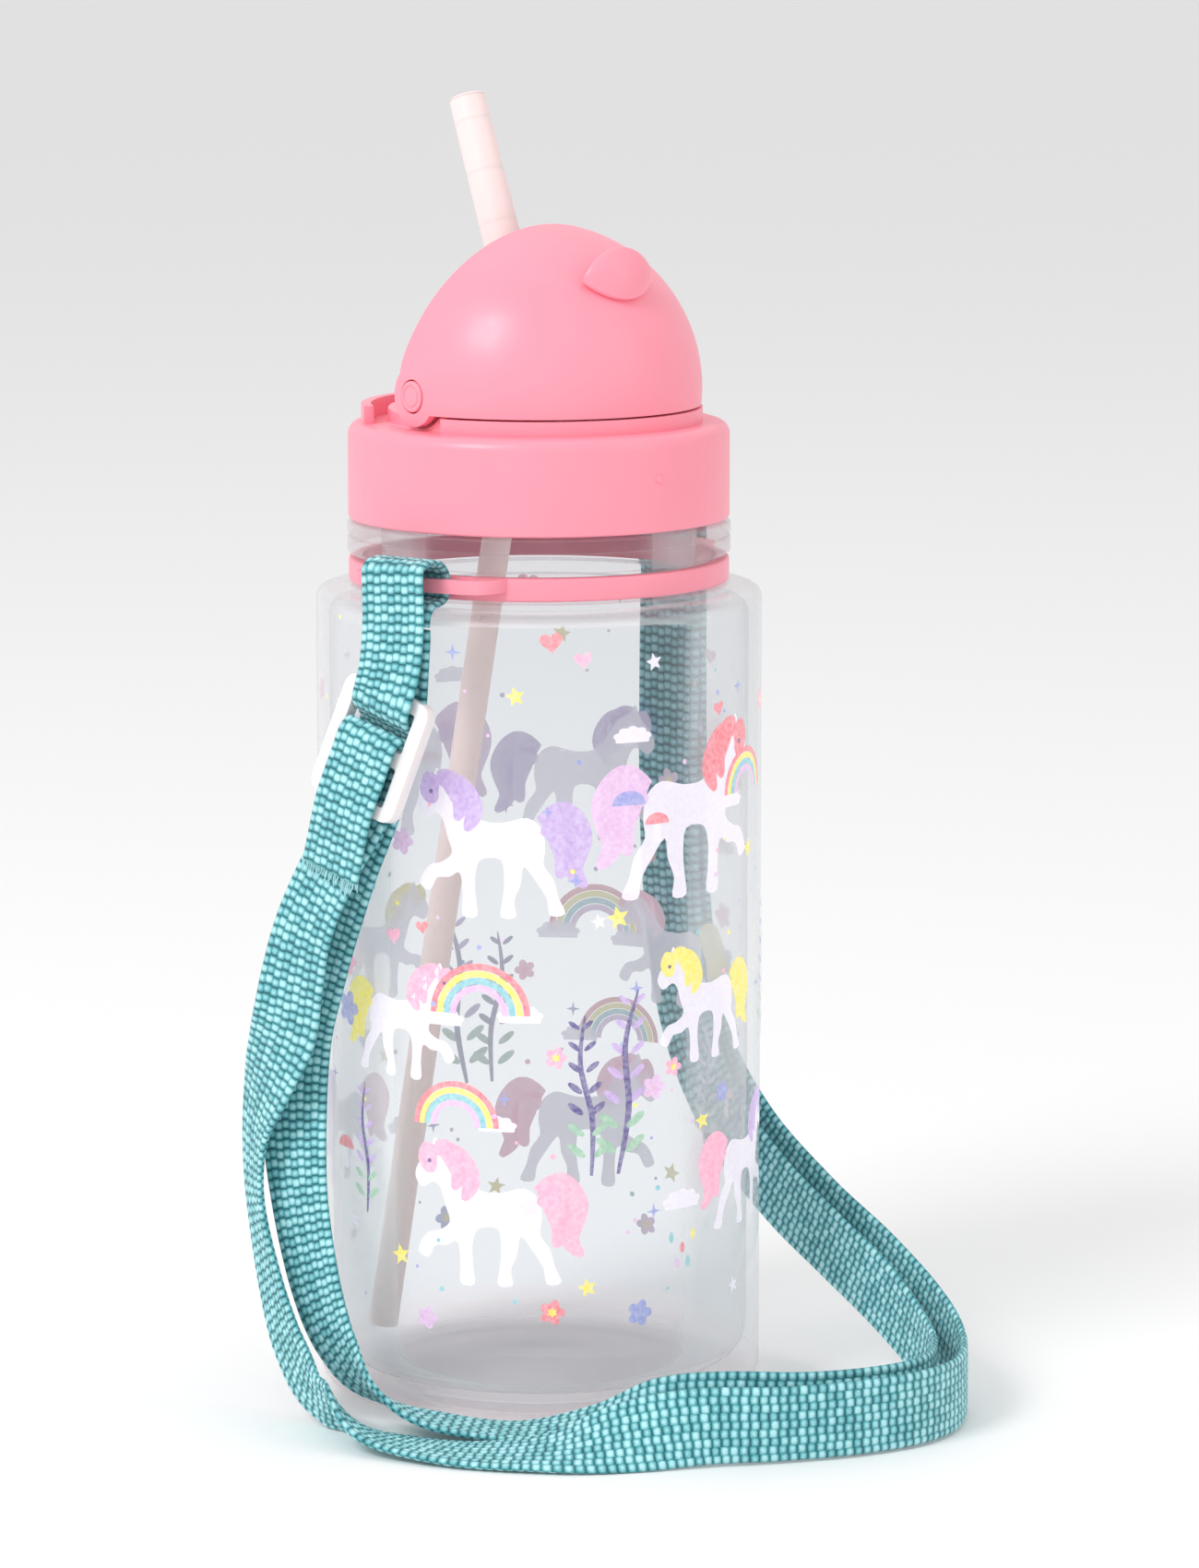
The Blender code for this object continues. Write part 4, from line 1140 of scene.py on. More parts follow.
@dataclass
class Strap:
    """The woven strap, run double from bow to bow, with its slider and its frayed end.

    Routes are points and width directions in millimetres, written to the right, away and up.
    """

    width: float = 12.5 * MM
    thick: float = 1.3 * MM
    ribs: int = 9
    rib_height: float = 0.16 * MM
    step: float = 0.8 * MM
    clear: float = 0.1 * MM
    join: float = 133.8 * MM
    lug_angle: float = radians(194.0)
    slider_size: tuple[float, float, float] = (18.5 * MM, 20.5 * MM, 2.2 * MM)
    slider_at: tuple[float, float, float] = (-27.2, -33.85, 114.0)
    slider_up: tuple[float, float, float] = (0.36, 0.0, 1.0)
    slider_across: tuple[float, float, float] = (0.80, -0.60, 0)
    fold: Outline = field(
        default_factory=lambda: [
            (40.83, 142.4),
            (39.9, 143.9),
            (37.6, 144.4),
            (35.0, 143.9),
            (33.4, 142.1),
            (33.25, 140.2),
            (33.7, 138.4),
            (35.2, 137.55),
            (37.2, 137.25),
            (38.5, 136.0),
            (38.95, 134.0),
        ]
    )
    dip: Outline = field(
        default_factory=lambda: [
            (9.6, 2.35),
            (6.9, 2.0),
            (5.6, 0.6),
            (4.6, -1.2),
            (2.6, -2.25),
            (-3.0, -2.3),
            (-9.5, -2.3),
        ]
    )
    tail: Outline = field(
        default_factory=lambda: [
            (3.3, 0.8),
            (2.5, 1.9),
            (0.8, 2.4),
            (-3.0, 2.3),
            (-10.0, 2.2),
            (-16.0, 1.0),
            (-21.5, -0.3),
        ]
    )
    inner: tuple = (
        ((-22.8, -31.6, 142.5), (0.81, -0.58, 0)),
        ((-22.9, -31.3, 130.0), (0.81, -0.58, 0)),
        ((-24.0, -30.5, 116.0), (0.80, -0.60, 0)),
        ((-27.6, -29.6, 104.0), (0.80, -0.60, 0)),
        ((-31.6, -28.0, 93.5), (0.80, -0.60, 0)),
        ((-35.2, -25.2, 83.0), (0.84, -0.54, 0)),
        ((-38.2, -22.8, 73.0), (0.90, -0.44, 0)),
        ((-40.3, -21.8, 64.0), (0.92, -0.39, 0)),
        ((-41.1, -23.0, 52.0), (0.90, -0.43, 0)),
        ((-40.2, -25.6, 37.0), (0.78, -0.62, 0)),
        ((-37.3, -30.2, 22.5), (0.68, -0.73, 0)),
        ((-33.4, -34.4, 13.2), (0.60, -0.80, 0)),
        ((-27.6, -38.4, 7.0), (0.50, -0.86, -0.04)),
        ((-18.4, -41.6, 3.0), (0.33, -0.94, -0.03)),
        ((-4.0, -43.4, 1.2), (0.16, -0.98, 0.0)),
        ((9.0, -45.4, 2.8), (0.10, -0.94, -0.30)),
        ((20.0, -47.8, 5.6), (0.04, -0.55, -0.83)),
        ((31.0, -49.2, 6.6), (0, -0.16, -0.98)),
        ((43.0, -49.0, 6.6), (0, 0, -1)),
        ((54.0, -46.0, 6.6), (0, 0, -1)),
        ((62.6, -39.6, 6.6), (0, 0, -1)),
        ((65.8, -30.0, 7.2), (0, 0.05, -1)),
        ((63.6, -20.0, 10.4), (-0.05, 0.16, -0.98)),
        ((58.0, -9.0, 15.6), (-0.20, 0.26, -0.94)),
        ((50.0, 3.0, 21.5), (-0.30, 0.36, -0.88)),
        ((41.0, 15.4, 28.5), (-0.42, 0.48, -0.77)),
        ((32.0, 27.4, 39.0), (-0.58, 0.61, -0.54)),
        ((26.0, 34.0, 54.0), (-0.70, 0.66, -0.26)),
        ((23.6, 34.6, 72.0), (-0.77, 0.62, -0.08)),
        ((22.6, 33.6, 92.0), (-0.80, 0.60, 0)),
        ((22.6, 32.2, 114.0), (-0.81, 0.58, 0)),
        ((22.8, 31.6, 142.5), (-0.81, 0.58, 0)),
    )
    outer_above: tuple = (
        ((-23.9, -33.1, 142.5), (0.81, -0.58, 0)),
        ((-23.8, -33.7, 135.0), (0.81, -0.58, 0)),
        ((-24.3, -34.8, 128.0), (0.81, -0.58, 0)),
    )
    outer_below: tuple = (
        ((-31.2, -32.0, 100.0), (0.79, -0.61, 0)),
        ((-35.4, -31.2, 92.0), (0.77, -0.64, 0)),
        ((-39.0, -30.0, 83.0), (0.78, -0.62, 0)),
        ((-41.0, -28.9, 74.0), (0.85, -0.53, 0)),
        ((-42.4, -27.6, 66.0), (0.88, -0.47, 0)),
        ((-45.0, -25.0, 58.0), (0.68, -0.73, 0)),
        ((-47.6, -21.2, 48.0), (0.36, -0.93, 0)),
        ((-47.8, -21.0, 36.0), (0.25, -0.97, 0)),
        ((-45.2, -25.6, 22.5), (0.35, -0.93, 0)),
        ((-41.8, -31.2, 12.6), (0.45, -0.88, 0)),
        ((-36.6, -38.4, 5.8), (0.48, -0.87, -0.02)),
        ((-28.4, -47.0, 2.0), (0.42, -0.90, 0.0)),
        ((-14.0, -55.0, 1.0), (0.24, -0.97, 0.0)),
        ((1.0, -58.8, 2.2), (0.10, -0.97, -0.20)),
        ((14.0, -60.0, 5.0), (0.05, -0.62, -0.78)),
        ((26.0, -59.6, 6.6), (0, -0.20, -0.98)),
        ((39.0, -58.2, 6.6), (0, 0, -1)),
        ((52.0, -54.2, 6.6), (0, 0, -1)),
        ((63.0, -47.6, 6.6), (0, 0, -1)),
        ((69.6, -37.2, 6.6), (0, 0, -1)),
        ((70.6, -25.6, 8.4), (0, 0.10, -0.99)),
        ((66.4, -13.6, 13.0), (-0.12, 0.22, -0.97)),
        ((58.6, -0.8, 19.2), (-0.26, 0.34, -0.90)),
        ((48.8, 12.6, 26.0), (-0.38, 0.46, -0.80)),
        ((38.0, 26.4, 36.0), (-0.54, 0.60, -0.60)),
        ((29.8, 35.4, 50.0), (-0.67, 0.66, -0.30)),
        ((25.8, 37.4, 70.0), (-0.76, 0.64, -0.10)),
        ((24.4, 36.0, 92.0), (-0.80, 0.60, 0)),
        ((24.0, 34.0, 114.0), (-0.81, 0.58, 0)),
        ((23.9, 33.1, 142.5), (-0.81, 0.58, 0)),
    )

    def points(self, route: Sequence) -> Route:
        """A written route in the object's frame, in metres."""
        return [(turned(point) * MM, turned(width)) for point, width in route]

    def slider_frame(self) -> Matrix:
        """Where the slider lies: across, up and out of the strap."""
        up = turned(self.slider_up).normalized()
        across = turned(self.slider_across)
        across = (across - up * across.dot(up)).normalized()
        turn = Matrix((across, up, across.cross(up))).transposed().to_4x4()
        return Matrix.Translation(turned(self.slider_at) * MM) @ turn

    def through_slider(self, points: Outline) -> Route:
        """A route given by heights along the slider and distances out of it."""
        place = self.slider_frame()
        across = place.to_3x3().col[0]
        return [(place @ (Vector((0, up, out)) * MM), across) for up, out in points]

    def over_bow(self, turn: float, across: Vector) -> Route:
        """The fold over a bow's bar, from the outer strand's end to the inner strand's."""
        out = Vector((cos(self.lug_angle + turn), sin(self.lug_angle + turn), 0))
        return [(out * r * MM + Vector((0, 0, z * MM)), across) for r, z in self.fold]

    def sampled(self, route: Route) -> Route:
        """Evenly spaced points of the smooth curve through a route."""
        places = flowing([p for p, _ in route], 24)
        widths = flowing([w for _, w in route], 24)
        gaps = np.array([(b - a).length for a, b in zip(places, places[1:])])
        run = np.concatenate([[0], np.cumsum(gaps)])
        count = int(run[-1] / self.step)
        spots = np.linspace(0, run[-1], count + 1)
        place = np.array([np.interp(spots, run, [p[k] for p in places]) for k in range(3)]).T
        width = np.array([np.interp(spots, run, [w[k] for w in widths]) for k in range(3)]).T
        return [(Vector(p), Vector(w)) for p, w in zip(place, width)]

    def section(self, per_rib: int = 4) -> Outline:
        """The ribbed section of the webbing: across and thick, from one edge round to the other."""
        count = self.ribs * per_rib
        top = []
        for i in range(count + 1):
            across = i / count * 2 - 1
            crown = abs(sin(pi * self.ribs * i / count))
            edge = (1 - abs(across) ** 14) ** 0.5
            height = (self.thick / 2 - self.rib_height) * edge + self.rib_height * (crown - 0.5) * edge
            top.append((across * self.width / 2, height + 0.02 * MM))
        return top + [(x, -y) for x, y in reversed(top)]

    def weave(self, name: str, route: Route) -> bpy.types.Object:
        """Lofts the webbing along a route, with its UV map in millimetres.

        Args:
            name: The piece's name.
            route: The strap's points and width directions.

        Returns:
            The closed strip, ribbed on both faces.
        """
        line = self.sampled(route)
        places = [p for p, _ in line]
        shape = self.section()
        half = len(shape) // 2
        mesh = bpy.data.meshes.new(name)
        verts, run, runs = [], 0.0, []
        last = len(places) - 1
        for i, (place, width) in enumerate(line):
            along = (places[min(i + 1, last)] - places[max(i - 1, 0)]).normalized()
            width = (width - along * width.dot(along)).normalized()
            face = along.cross(width).normalized()
            ring = [place + width * x + face * y for x, y in shape]
            lift = Vector((0, 0, max(0.0, self.clear - min(corner.z for corner in ring))))
            verts += [corner + lift for corner in ring]
            run += (place - places[max(i - 1, 0)]).length
            runs.append(run)
        count = len(shape)
        faces = []
        for i in range(last):
            low, high = i * count, (i + 1) * count
            for k in range(count):
                n = (k + 1) % count
                faces.append((low + k, low + n, high + n, high + k))
        faces.append(tuple(range(count))[::-1])
        faces.append(tuple(range(last * count, (last + 1) * count)))
        mesh.from_pydata(verts, [], faces)
        layer = mesh.uv_layers.new(name="weave")
        corners = np.empty(len(mesh.loops), dtype=int)
        mesh.loops.foreach_get("vertex_index", corners)
        across = np.array([(x + self.width / 2) / MM for x, _ in shape])[corners % count]
        shift = np.where(corners % count >= half, self.width / self.ribs / MM / 2, 0.0)
        values = np.stack([across, np.array(runs)[corners // count] / MM + shift], axis=1)
        layer.data.foreach_set("uv", values.ravel())
        obj = bpy.data.objects.new(name, mesh)
        bpy.context.scene.collection.objects.link(obj)
        choose(obj)
        bpy.ops.object.mode_set(mode="EDIT")
        bpy.ops.mesh.select_all(action="SELECT")
        bpy.ops.mesh.normals_make_consistent(inside=False)
        bpy.ops.object.mode_set(mode="OBJECT")
        return dress(smooth(obj, 60), Finish.STRAP.made())

    def length(self, route: Route) -> float:
        """A route's length in metres."""
        places = [p for p, _ in self.sampled(route)]
        return sum((b - a).length for a, b in zip(places, places[1:]))

    def fray(self) -> bpy.types.Object:
        """The loose threads at the tail's cut end."""
        place = self.slider_frame()
        rng = np.random.default_rng(7)
        threads = []
        up, out = self.tail[-1]
        for i in range(34):
            across = (-0.5 + (i + 0.5) / 34) * self.width / MM
            reach = rng.uniform(1.2, 3.2)
            lean, fall = rng.uniform(-0.5, 0.5, 2)
            ends = [
                (across, up + 0.6, out + 0.15 * fall),
                (across + lean * 0.3, up - reach * 0.5, out - 0.25 + 0.3 * fall),
                (across + lean, up - reach, out - 0.5 + fall * 0.8),
            ]
            line = flowing([place @ (Vector(e) * MM) for e in ends], 3)
            threads.append(tube("thread", line, np.linspace(0.16, 0.05, len(line)) * MM, 4))
        piece = join("strap_fray", threads)
        return dress(smooth(piece, 60), Finish.STRAP.made())

    def build_slider(self) -> bpy.types.Object:
        """Builds the three-bar slider with rounded bars."""
        width, height, thick = self.slider_size
        side, bar, middle = 2.6 * MM, 2.2 * MM, 2.6 * MM
        slot = width / 2 - side
        top, low = height / 2 - bar, middle / 2

        def box(left: float, right: float, under: float, over: float, corner: float) -> Outline:
            """A rectangle's outline with round corners."""
            spots = ((right, over, 0), (left, over, 90), (left, under, 180), (right, under, 270))
            found: Outline = []
            for x, y, start in spots:
                centre = (x - corner if x > 0 else x + corner, y - corner if y == over else y + corner)
                found += arc(centre, corner, start, start + 90, 6)
            return found

        outlines = [box(-width / 2, width / 2, -height / 2, height / 2, 2.2 * MM)]
        outlines += [box(-slot, slot, low, top, 0.5 * MM), box(-slot, slot, -top, -low, 0.5 * MM)]
        slider = soften(prism("clear_slider", outlines, -thick / 2, thick / 2), 0.6 * MM, 4)
        slider.matrix_world = self.slider_frame()
        dress(smooth(settle(slider), 30), Finish.SLIDER.made())
        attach(slider, "strap_ring")
        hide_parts("strap_slider")
        return slider

    def build(self) -> list[bpy.types.Object]:
        near, far = turned((0.81, -0.58, 0)), turned((-0.81, 0.58, 0))
        above, below = self.points(self.outer_above), self.points(self.outer_below)
        inner = self.points(self.inner)
        for place, _ in (inner[0], inner[-1]):
            place.z = self.join
        outer = self.over_bow(0.0, near)[:0:-1] + above + self.through_slider(self.dip) + below
        outer += self.over_bow(pi, far)[1:]
        slider, tail_route = self.build_slider(), self.through_slider(self.tail)
        strands = (("strap_inner", inner, ["webbing_inner_strand"]), (
            "strap_outer", outer, ["webbing_outer_strand", "webbing_loop_near", "webbing_loop_far"]))
        made = [slider]
        tail = self.weave("strap_tail", tail_route)
        fray = self.fray()
        for piece in (tail, fray):
            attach(piece, "strap_ring")
        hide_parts("webbing_tail")
        for name, route, nodes in strands:
            piece = self.weave(name, route)
            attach(piece, "strap_ring")
            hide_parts(*nodes)
            path = [tuple(p) for p, _ in self.sampled(route)[::4]]
            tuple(path[0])
            self.length(route)
            made.append(piece)
        return made + [tail, fray]


# ---------------------------------------------------------------------------
# Print
# ---------------------------------------------------------------------------


class Ink(Enum):
    """The print's inks: a name and an sRGB colour."""

    LILAC = ("ink_lilac_grey", "E6DFEB", 0.78)
    PINK = ("ink_pink", "F1A3BF")
    VIOLET = ("ink_violet", "B79AD0")
    CORAL = ("ink_coral", "E2737F")
    YELLOW = ("ink_yellow", "E9DB58")
    TEAL = ("ink_teal_blue", "7BBCC6")
    MAUVE = ("ink_mauve", "D7AED6")
    BLUE = ("ink_cornflower", "8C93CE")
    DARK = ("ink_dark_violet", "46357F")
    GREEN = ("ink_sage", "8DB79A")

    def made(self) -> bpy.types.Material:
        """The ink's material, built the first time it is asked for."""
        return PrintInk(*self.value).made()


@dataclass(frozen=True)
class Shapes:
    """The outlines that the print is made of, in millimetres about their own centre."""

    def star(self, size: float, points: int = 5, waist: float = 0.45, turn: float = 90) -> Outline:
        """A star."""
        line = []
        for i in range(points * 2):
            radius = size if i % 2 == 0 else size * waist
            angle = radians(turn + 180 * i / points)
            line.append((radius * cos(angle), radius * sin(angle)))
        return line

    def disc(self, wide: float, high: float | None = None, count: int = 20) -> Outline:
        """A disc or an ellipse."""
        high = high or wide
        return [(wide * cos(2 * pi * i / count), high * sin(2 * pi * i / count)) for i in range(count)]

    def heart(self, size: float) -> Outline:
        """A heart."""
        line = []
        for i in range(28):
            t = 2 * pi * i / 28
            x = 16 * sin(t) ** 3
            y = 13 * cos(t) - 5 * cos(2 * t) - 2 * cos(3 * t) - cos(4 * t)
            line.append((x * size / 16, y * size / 16))
        return line[::-1]

    def cloud(self, size: float, lobes: int = 5) -> Outline:
        """A cloud with a flat foot and round lobes."""
        line = [(-size, -0.35 * size), (size, -0.35 * size)]
        for i in range(lobes * 7 + 1):
            angle = pi * i / (lobes * 7)
            puff = 1 + 0.16 * abs(sin(angle * lobes))
            line.append((size * 1.02 * cos(angle) * puff, size * (0.62 * sin(angle) * puff - 0.15)))
        return line

    def flower(self, size: float, petals: int = 5) -> Outline:
        """A flower with round petals."""
        count = petals * 8
        line = []
        for i in range(count):
            angle = 2 * pi * i / count
            radius = size * (0.62 + 0.38 * abs(cos(petals * angle / 2)))
            line.append((radius * cos(angle), radius * sin(angle)))
        return line

    def bow(self, outer: float, inner: float) -> Outline:
        """One band of a rainbow."""
        out = [(outer * cos(pi * i / 24), outer * sin(pi * i / 24)) for i in range(25)]
        return out + [(inner * cos(pi * i / 24), inner * sin(pi * i / 24)) for i in range(24, -1, -1)]

    def lock(self, points: Sequence[tuple[float, float]], width: float, scale: float = 1.0) -> Outline:
        """A tapering lock of hair, a leaf or a stem along a line of points."""
        line = [p * scale for p in flowing([(x, y, 0) for x, y in points], 6)]
        left, right = [], []
        for i, place in enumerate(line):
            along = (line[min(i + 1, len(line) - 1)] - line[max(i - 1, 0)]).normalized()
            share = i / (len(line) - 1)
            half = width * scale / 2 * (sin(pi * min(1.0, 0.12 + share * 0.86)) ** 0.7 + 0.04)
            left.append((place.x - along.y * half, place.y + along.x * half))
            right.append((place.x + along.y * half, place.y - along.x * half))
        return left + right[::-1]

    def pony(self) -> Outline:
        """A little horse in a slow trot, facing left, one unit long and about one high."""
        return [
            tuple(p)[:2]
            for p in flowing(
                [
                    (0.03, 0.66, 0), (0.05, 0.74, 0), (0.13, 0.83, 0), (0.17, 0.92, 0), (0.21, 0.86, 0),
                    (0.29, 0.82, 0), (0.37, 0.70, 0), (0.46, 0.61, 0), (0.60, 0.60, 0), (0.74, 0.63, 0),
                    (0.83, 0.56, 0), (0.85, 0.44, 0), (0.84, 0.34, 0), (0.90, 0.25, 0), (0.93, 0.14, 0),
                    (0.97, 0.04, 0), (0.88, 0.03, 0), (0.86, 0.13, 0), (0.80, 0.23, 0), (0.72, 0.33, 0),
                    (0.70, 0.22, 0), (0.66, 0.12, 0), (0.67, 0.02, 0), (0.58, 0.02, 0), (0.59, 0.13, 0),
                    (0.60, 0.24, 0), (0.58, 0.37, 0), (0.46, 0.37, 0), (0.42, 0.28, 0), (0.42, 0.15, 0),
                    (0.43, 0.02, 0), (0.34, 0.02, 0), (0.34, 0.15, 0), (0.32, 0.28, 0), (0.25, 0.25, 0),
                    (0.17, 0.24, 0), (0.12, 0.16, 0), (0.05, 0.20, 0), (0.11, 0.31, 0), (0.20, 0.34, 0),
                    (0.27, 0.40, 0), (0.24, 0.50, 0), (0.21, 0.60, 0), (0.16, 0.64, 0), (0.08, 0.60, 0),
                ],
                3,
                closed=True,
            )
        ]


@dataclass
class Print:
    """A generic meadow print of ponies, rainbows, flowers and stars, wrapped round the bottle.

    Motifs are placed by their angle round the bottle from the drinker's left, and their height.
    """

    radius: float = 37.52 * MM
    film: float = 0.004 * MM
    layer: float = 0.006 * MM
    facing: float = 230.0
    strip: float = 2.2
    shapes: Shapes = field(default_factory=Shapes)
    marks: dict = field(default_factory=lambda: defaultdict(list))

    def stamp(
        self,
        ink: Ink,
        outline: Outline,
        angle: float,
        height: float,
        scale: float = 1.0,
        turn: float = 0,
        flip: bool = False,
    ) -> None:
        """Adds one outline to an ink.

        Args:
            ink: The ink.
            outline: The shape, in millimetres about its centre.
            angle: Its place round the bottle, in degrees.
            height: Its height in millimetres.
            scale: Its scale.
            turn: Its turn in degrees.
            flip: Whether it is mirrored left to right.
        """
        c, s = cos(radians(turn)) * scale, sin(radians(turn)) * scale
        side = -1 if flip else 1
        middle = radians(angle) * self.radius / MM
        turned_outline = [(middle + side * (x * c - y * s), height + x * s + y * c) for x, y in outline]
        self.marks[ink].append(turned_outline)

    def pony(self, angle: float, low: float, tall: float, mane: Ink, tail: Ink, flip: bool = False,
             turn: float = 0) -> None:
        """Stamps a pony with its mane and tail."""
        lock = self.shapes.lock
        body = [(x - 0.5, y - 0.5) for x, y in self.shapes.pony()]
        middle = low + tall / 2
        self.stamp(Ink.LILAC, body, angle, middle, tall, turn, flip)
        manes = (
            [(-0.33, 0.36), (-0.24, 0.34), (-0.17, 0.22), (-0.20, 0.10)],
            [(-0.28, 0.36), (-0.16, 0.30), (-0.09, 0.16), (-0.14, 0.04)],
            [(-0.36, 0.38), (-0.38, 0.28), (-0.34, 0.20)],
        )
        tails = (
            [(0.32, 0.10), (0.46, 0.16), (0.56, 0.02), (0.52, -0.18), (0.60, -0.30)],
            [(0.33, 0.08), (0.42, 0.04), (0.47, -0.10), (0.43, -0.24)],
        )
        for line in manes:
            self.stamp(mane, lock(line, 0.13), angle, middle, tall, turn, flip)
        for line in tails:
            self.stamp(tail, lock(line, 0.15), angle, middle, tall, turn, flip)
        eye = angle + (1 if flip else -1) * tall * 0.56
        self.stamp(Ink.DARK, self.shapes.disc(0.014), eye, middle + tall * 0.27, tall, 0, flip)

    def rainbow(self, angle: float, low: float, size: float) -> None:
        """Stamps a rainbow of four bands."""
        for i, ink in enumerate((Ink.CORAL, Ink.YELLOW, Ink.TEAL, Ink.MAUVE)):
            outer = size * (1 - 0.14 * i)
            self.stamp(ink, self.shapes.bow(outer, outer - size * 0.125), angle, low)

    def mushroom(self, ink: Ink, angle: float, top: float, size: float) -> None:
        """Stamps a mushroom: a cap on a stem."""
        cap = [(size * cos(pi * i / 16), size * 0.8 * sin(pi * i / 16)) for i in range(17)]
        stem = [(-0.22, 0.0), (0.22, 0.0), (0.30, -1.3), (-0.30, -1.3)]
        self.stamp(Ink.LILAC, stem, angle, top - size * 0.85, size)
        self.stamp(ink, cap, angle, top - size * 0.8)

    def sprig(self, angle: float, low: float, tall: float, ink: Ink, lean: float = 0) -> None:
        """Stamps a stem with pairs of leaves and small blossoms towards its top."""
        stem = self.shapes.lock([(0, 0), (0.03, 0.35), (-0.02, 0.7), (0.03, 1.0)], 0.035)
        self.stamp(Ink.DARK, stem, angle, low, tall, lean)
        leaf = self.shapes.disc(0.055, 0.02, 12)
        for i in range(7):
            for side in (-1, 1):
                reach = 0.075 * tall * (1.1 - i * 0.09)
                at = angle + degrees_along(side * reach - sin(radians(lean)) * tall * (0.16 + i * 0.13))
                colour = Ink.GREEN if i < 2 else ink
                base, size = low + tall * (0.16 + i * 0.13), tall * (1.25 - i * 0.08)
                self.stamp(colour, leaf, at, base, size, side * 38)

    def front(self, shift: float) -> None:
        """Stamps the set of motifs, turned round the bottle by a shift in degrees."""
        shapes = self.shapes
        hearts = ((3, 132, 1.9, Ink.CORAL), (11, 129, 1.5, Ink.PINK), (-40, 82, 1.5, Ink.PINK),
                  (-31, 84, 1.2, Ink.CORAL), (52, 119, 1.3, Ink.CORAL), (-52, 121, 1.5, Ink.PINK))
        for angle, height, size, ink in hearts:
            self.stamp(ink, shapes.heart(size), angle + shift, height, turn=8)
        stars = ((20, 86, 2.1, Ink.YELLOW), (15, 85.5, 1.4, Ink.LILAC), (-6, 123, 1.7, Ink.YELLOW),
                 (-38, 28, 1.9, Ink.YELLOW), (-56, 32, 1.6, Ink.LILAC), (46, 50, 1.8, Ink.YELLOW),
                 (30, 128, 1.6, Ink.LILAC), (68, 94, 1.8, Ink.YELLOW), (-66, 100, 1.7, Ink.YELLOW),
                 (12, 24, 1.7, Ink.YELLOW), (60, 20, 1.5, Ink.LILAC))
        for angle, height, size, ink in stars:
            self.stamp(ink, shapes.star(size), angle + shift, height, turn=12)
        sparkles = ((9, 92.5, 1.5), (25, 74, 1.4), (-22, 130, 1.5), (-9, 56, 1.3), (61, 122, 1.4),
                    (-48, 108, 1.3), (30, 36, 1.4), (-66, 56, 1.3), (76, 70, 1.4), (2, 104, 1.1))
        for angle, height, size in sparkles:
            self.stamp(Ink.BLUE, shapes.star(size, 4, 0.28), angle + shift, height)
        self.pony(-13 + shift, 86, 27, Ink.VIOLET, Ink.VIOLET)
        self.pony(-37 + shift, 58, 22, Ink.PINK, Ink.YELLOW, flip=True)
        self.pony(-14 + shift, 24, 27, Ink.PINK, Ink.PINK)
        self.pony(44 + shift, 88, 32, Ink.CORAL, Ink.MAUVE, flip=True)
        self.pony(47 + shift, 60, 22, Ink.YELLOW, Ink.YELLOW)
        self.pony(68 + shift, 30, 24, Ink.VIOLET, Ink.PINK, flip=True)
        self.rainbow(-15.5 + shift, 70, 8.6)
        self.rainbow(-22 + shift, 51, 7.6)
        self.rainbow(66 + shift, 104, 7.4)
        clouds = ((-25, 69, 3.2, Ink.LILAC), (-5, 70, 3.4, Ink.LILAC), (-11, 51.5, 3.0, Ink.LILAC),
                  (39, 37, 3.6, Ink.LILAC), (58, 103, 3.0, Ink.LILAC), (-58, 88, 3.2, Ink.LILAC),
                  (24, 116, 3.0, Ink.LILAC))
        for angle, height, size, ink in clouds:
            self.stamp(ink, shapes.cloud(size), angle + shift, height)
        for i, (side, drop) in enumerate(((-3.6, 31), (0, 29), (3.6, 31), (-1.8, 26.5), (1.8, 26.5))):
            ink = (Ink.TEAL, Ink.CORAL, Ink.YELLOW, Ink.MAUVE, Ink.TEAL)[i]
            self.stamp(ink, shapes.disc(0.5, 0.95, 12), 39 + side + shift, drop)
        self.mushroom(Ink.BLUE, 23 + shift, 107, 3.0)
        self.mushroom(Ink.CORAL, 31 + shift, 103, 2.3)
        self.mushroom(Ink.CORAL, -60 + shift, 46, 2.6)
        self.sprig(13 + shift, 43, 27, Ink.DARK, 4)
        self.sprig(20 + shift, 43, 31, Ink.VIOLET, -5)
        self.sprig(-50 + shift, 34, 22, Ink.VIOLET, 3)
        self.sprig(84 + shift, 60, 24, Ink.BLUE, -3)
        flowers = ((-58, 68, 3.0, Ink.BLUE), (-58, 76, 2.4, Ink.PINK), (-37, 98, 2.3, Ink.MAUVE),
                   (4, 63, 1.9, Ink.PINK), (30, 57, 2.2, Ink.MAUVE), (36, 60, 1.7, Ink.PINK),
                   (3, 20, 2.2, Ink.CORAL), (26, 19, 2.3, Ink.BLUE), (-30, 18, 2.0, Ink.MAUVE),
                   (54, 54, 1.8, Ink.BLUE), (80, 118, 2.2, Ink.PINK))
        for angle, height, size, ink in flowers:
            self.stamp(ink, shapes.flower(size), angle + shift, height)
            self.stamp(Ink.YELLOW, shapes.star(size * 0.42, 6, 0.6), angle + shift, height)
        rng = np.random.default_rng(11)
        inks = (Ink.PINK, Ink.YELLOW, Ink.TEAL, Ink.MAUVE, Ink.BLUE)
        for i in range(70):
            angle, height = rng.uniform(-90, 90), rng.uniform(16, 134)
            self.stamp(inks[i % 5], shapes.disc(rng.uniform(0.28, 0.5), count=10), angle + shift, height)

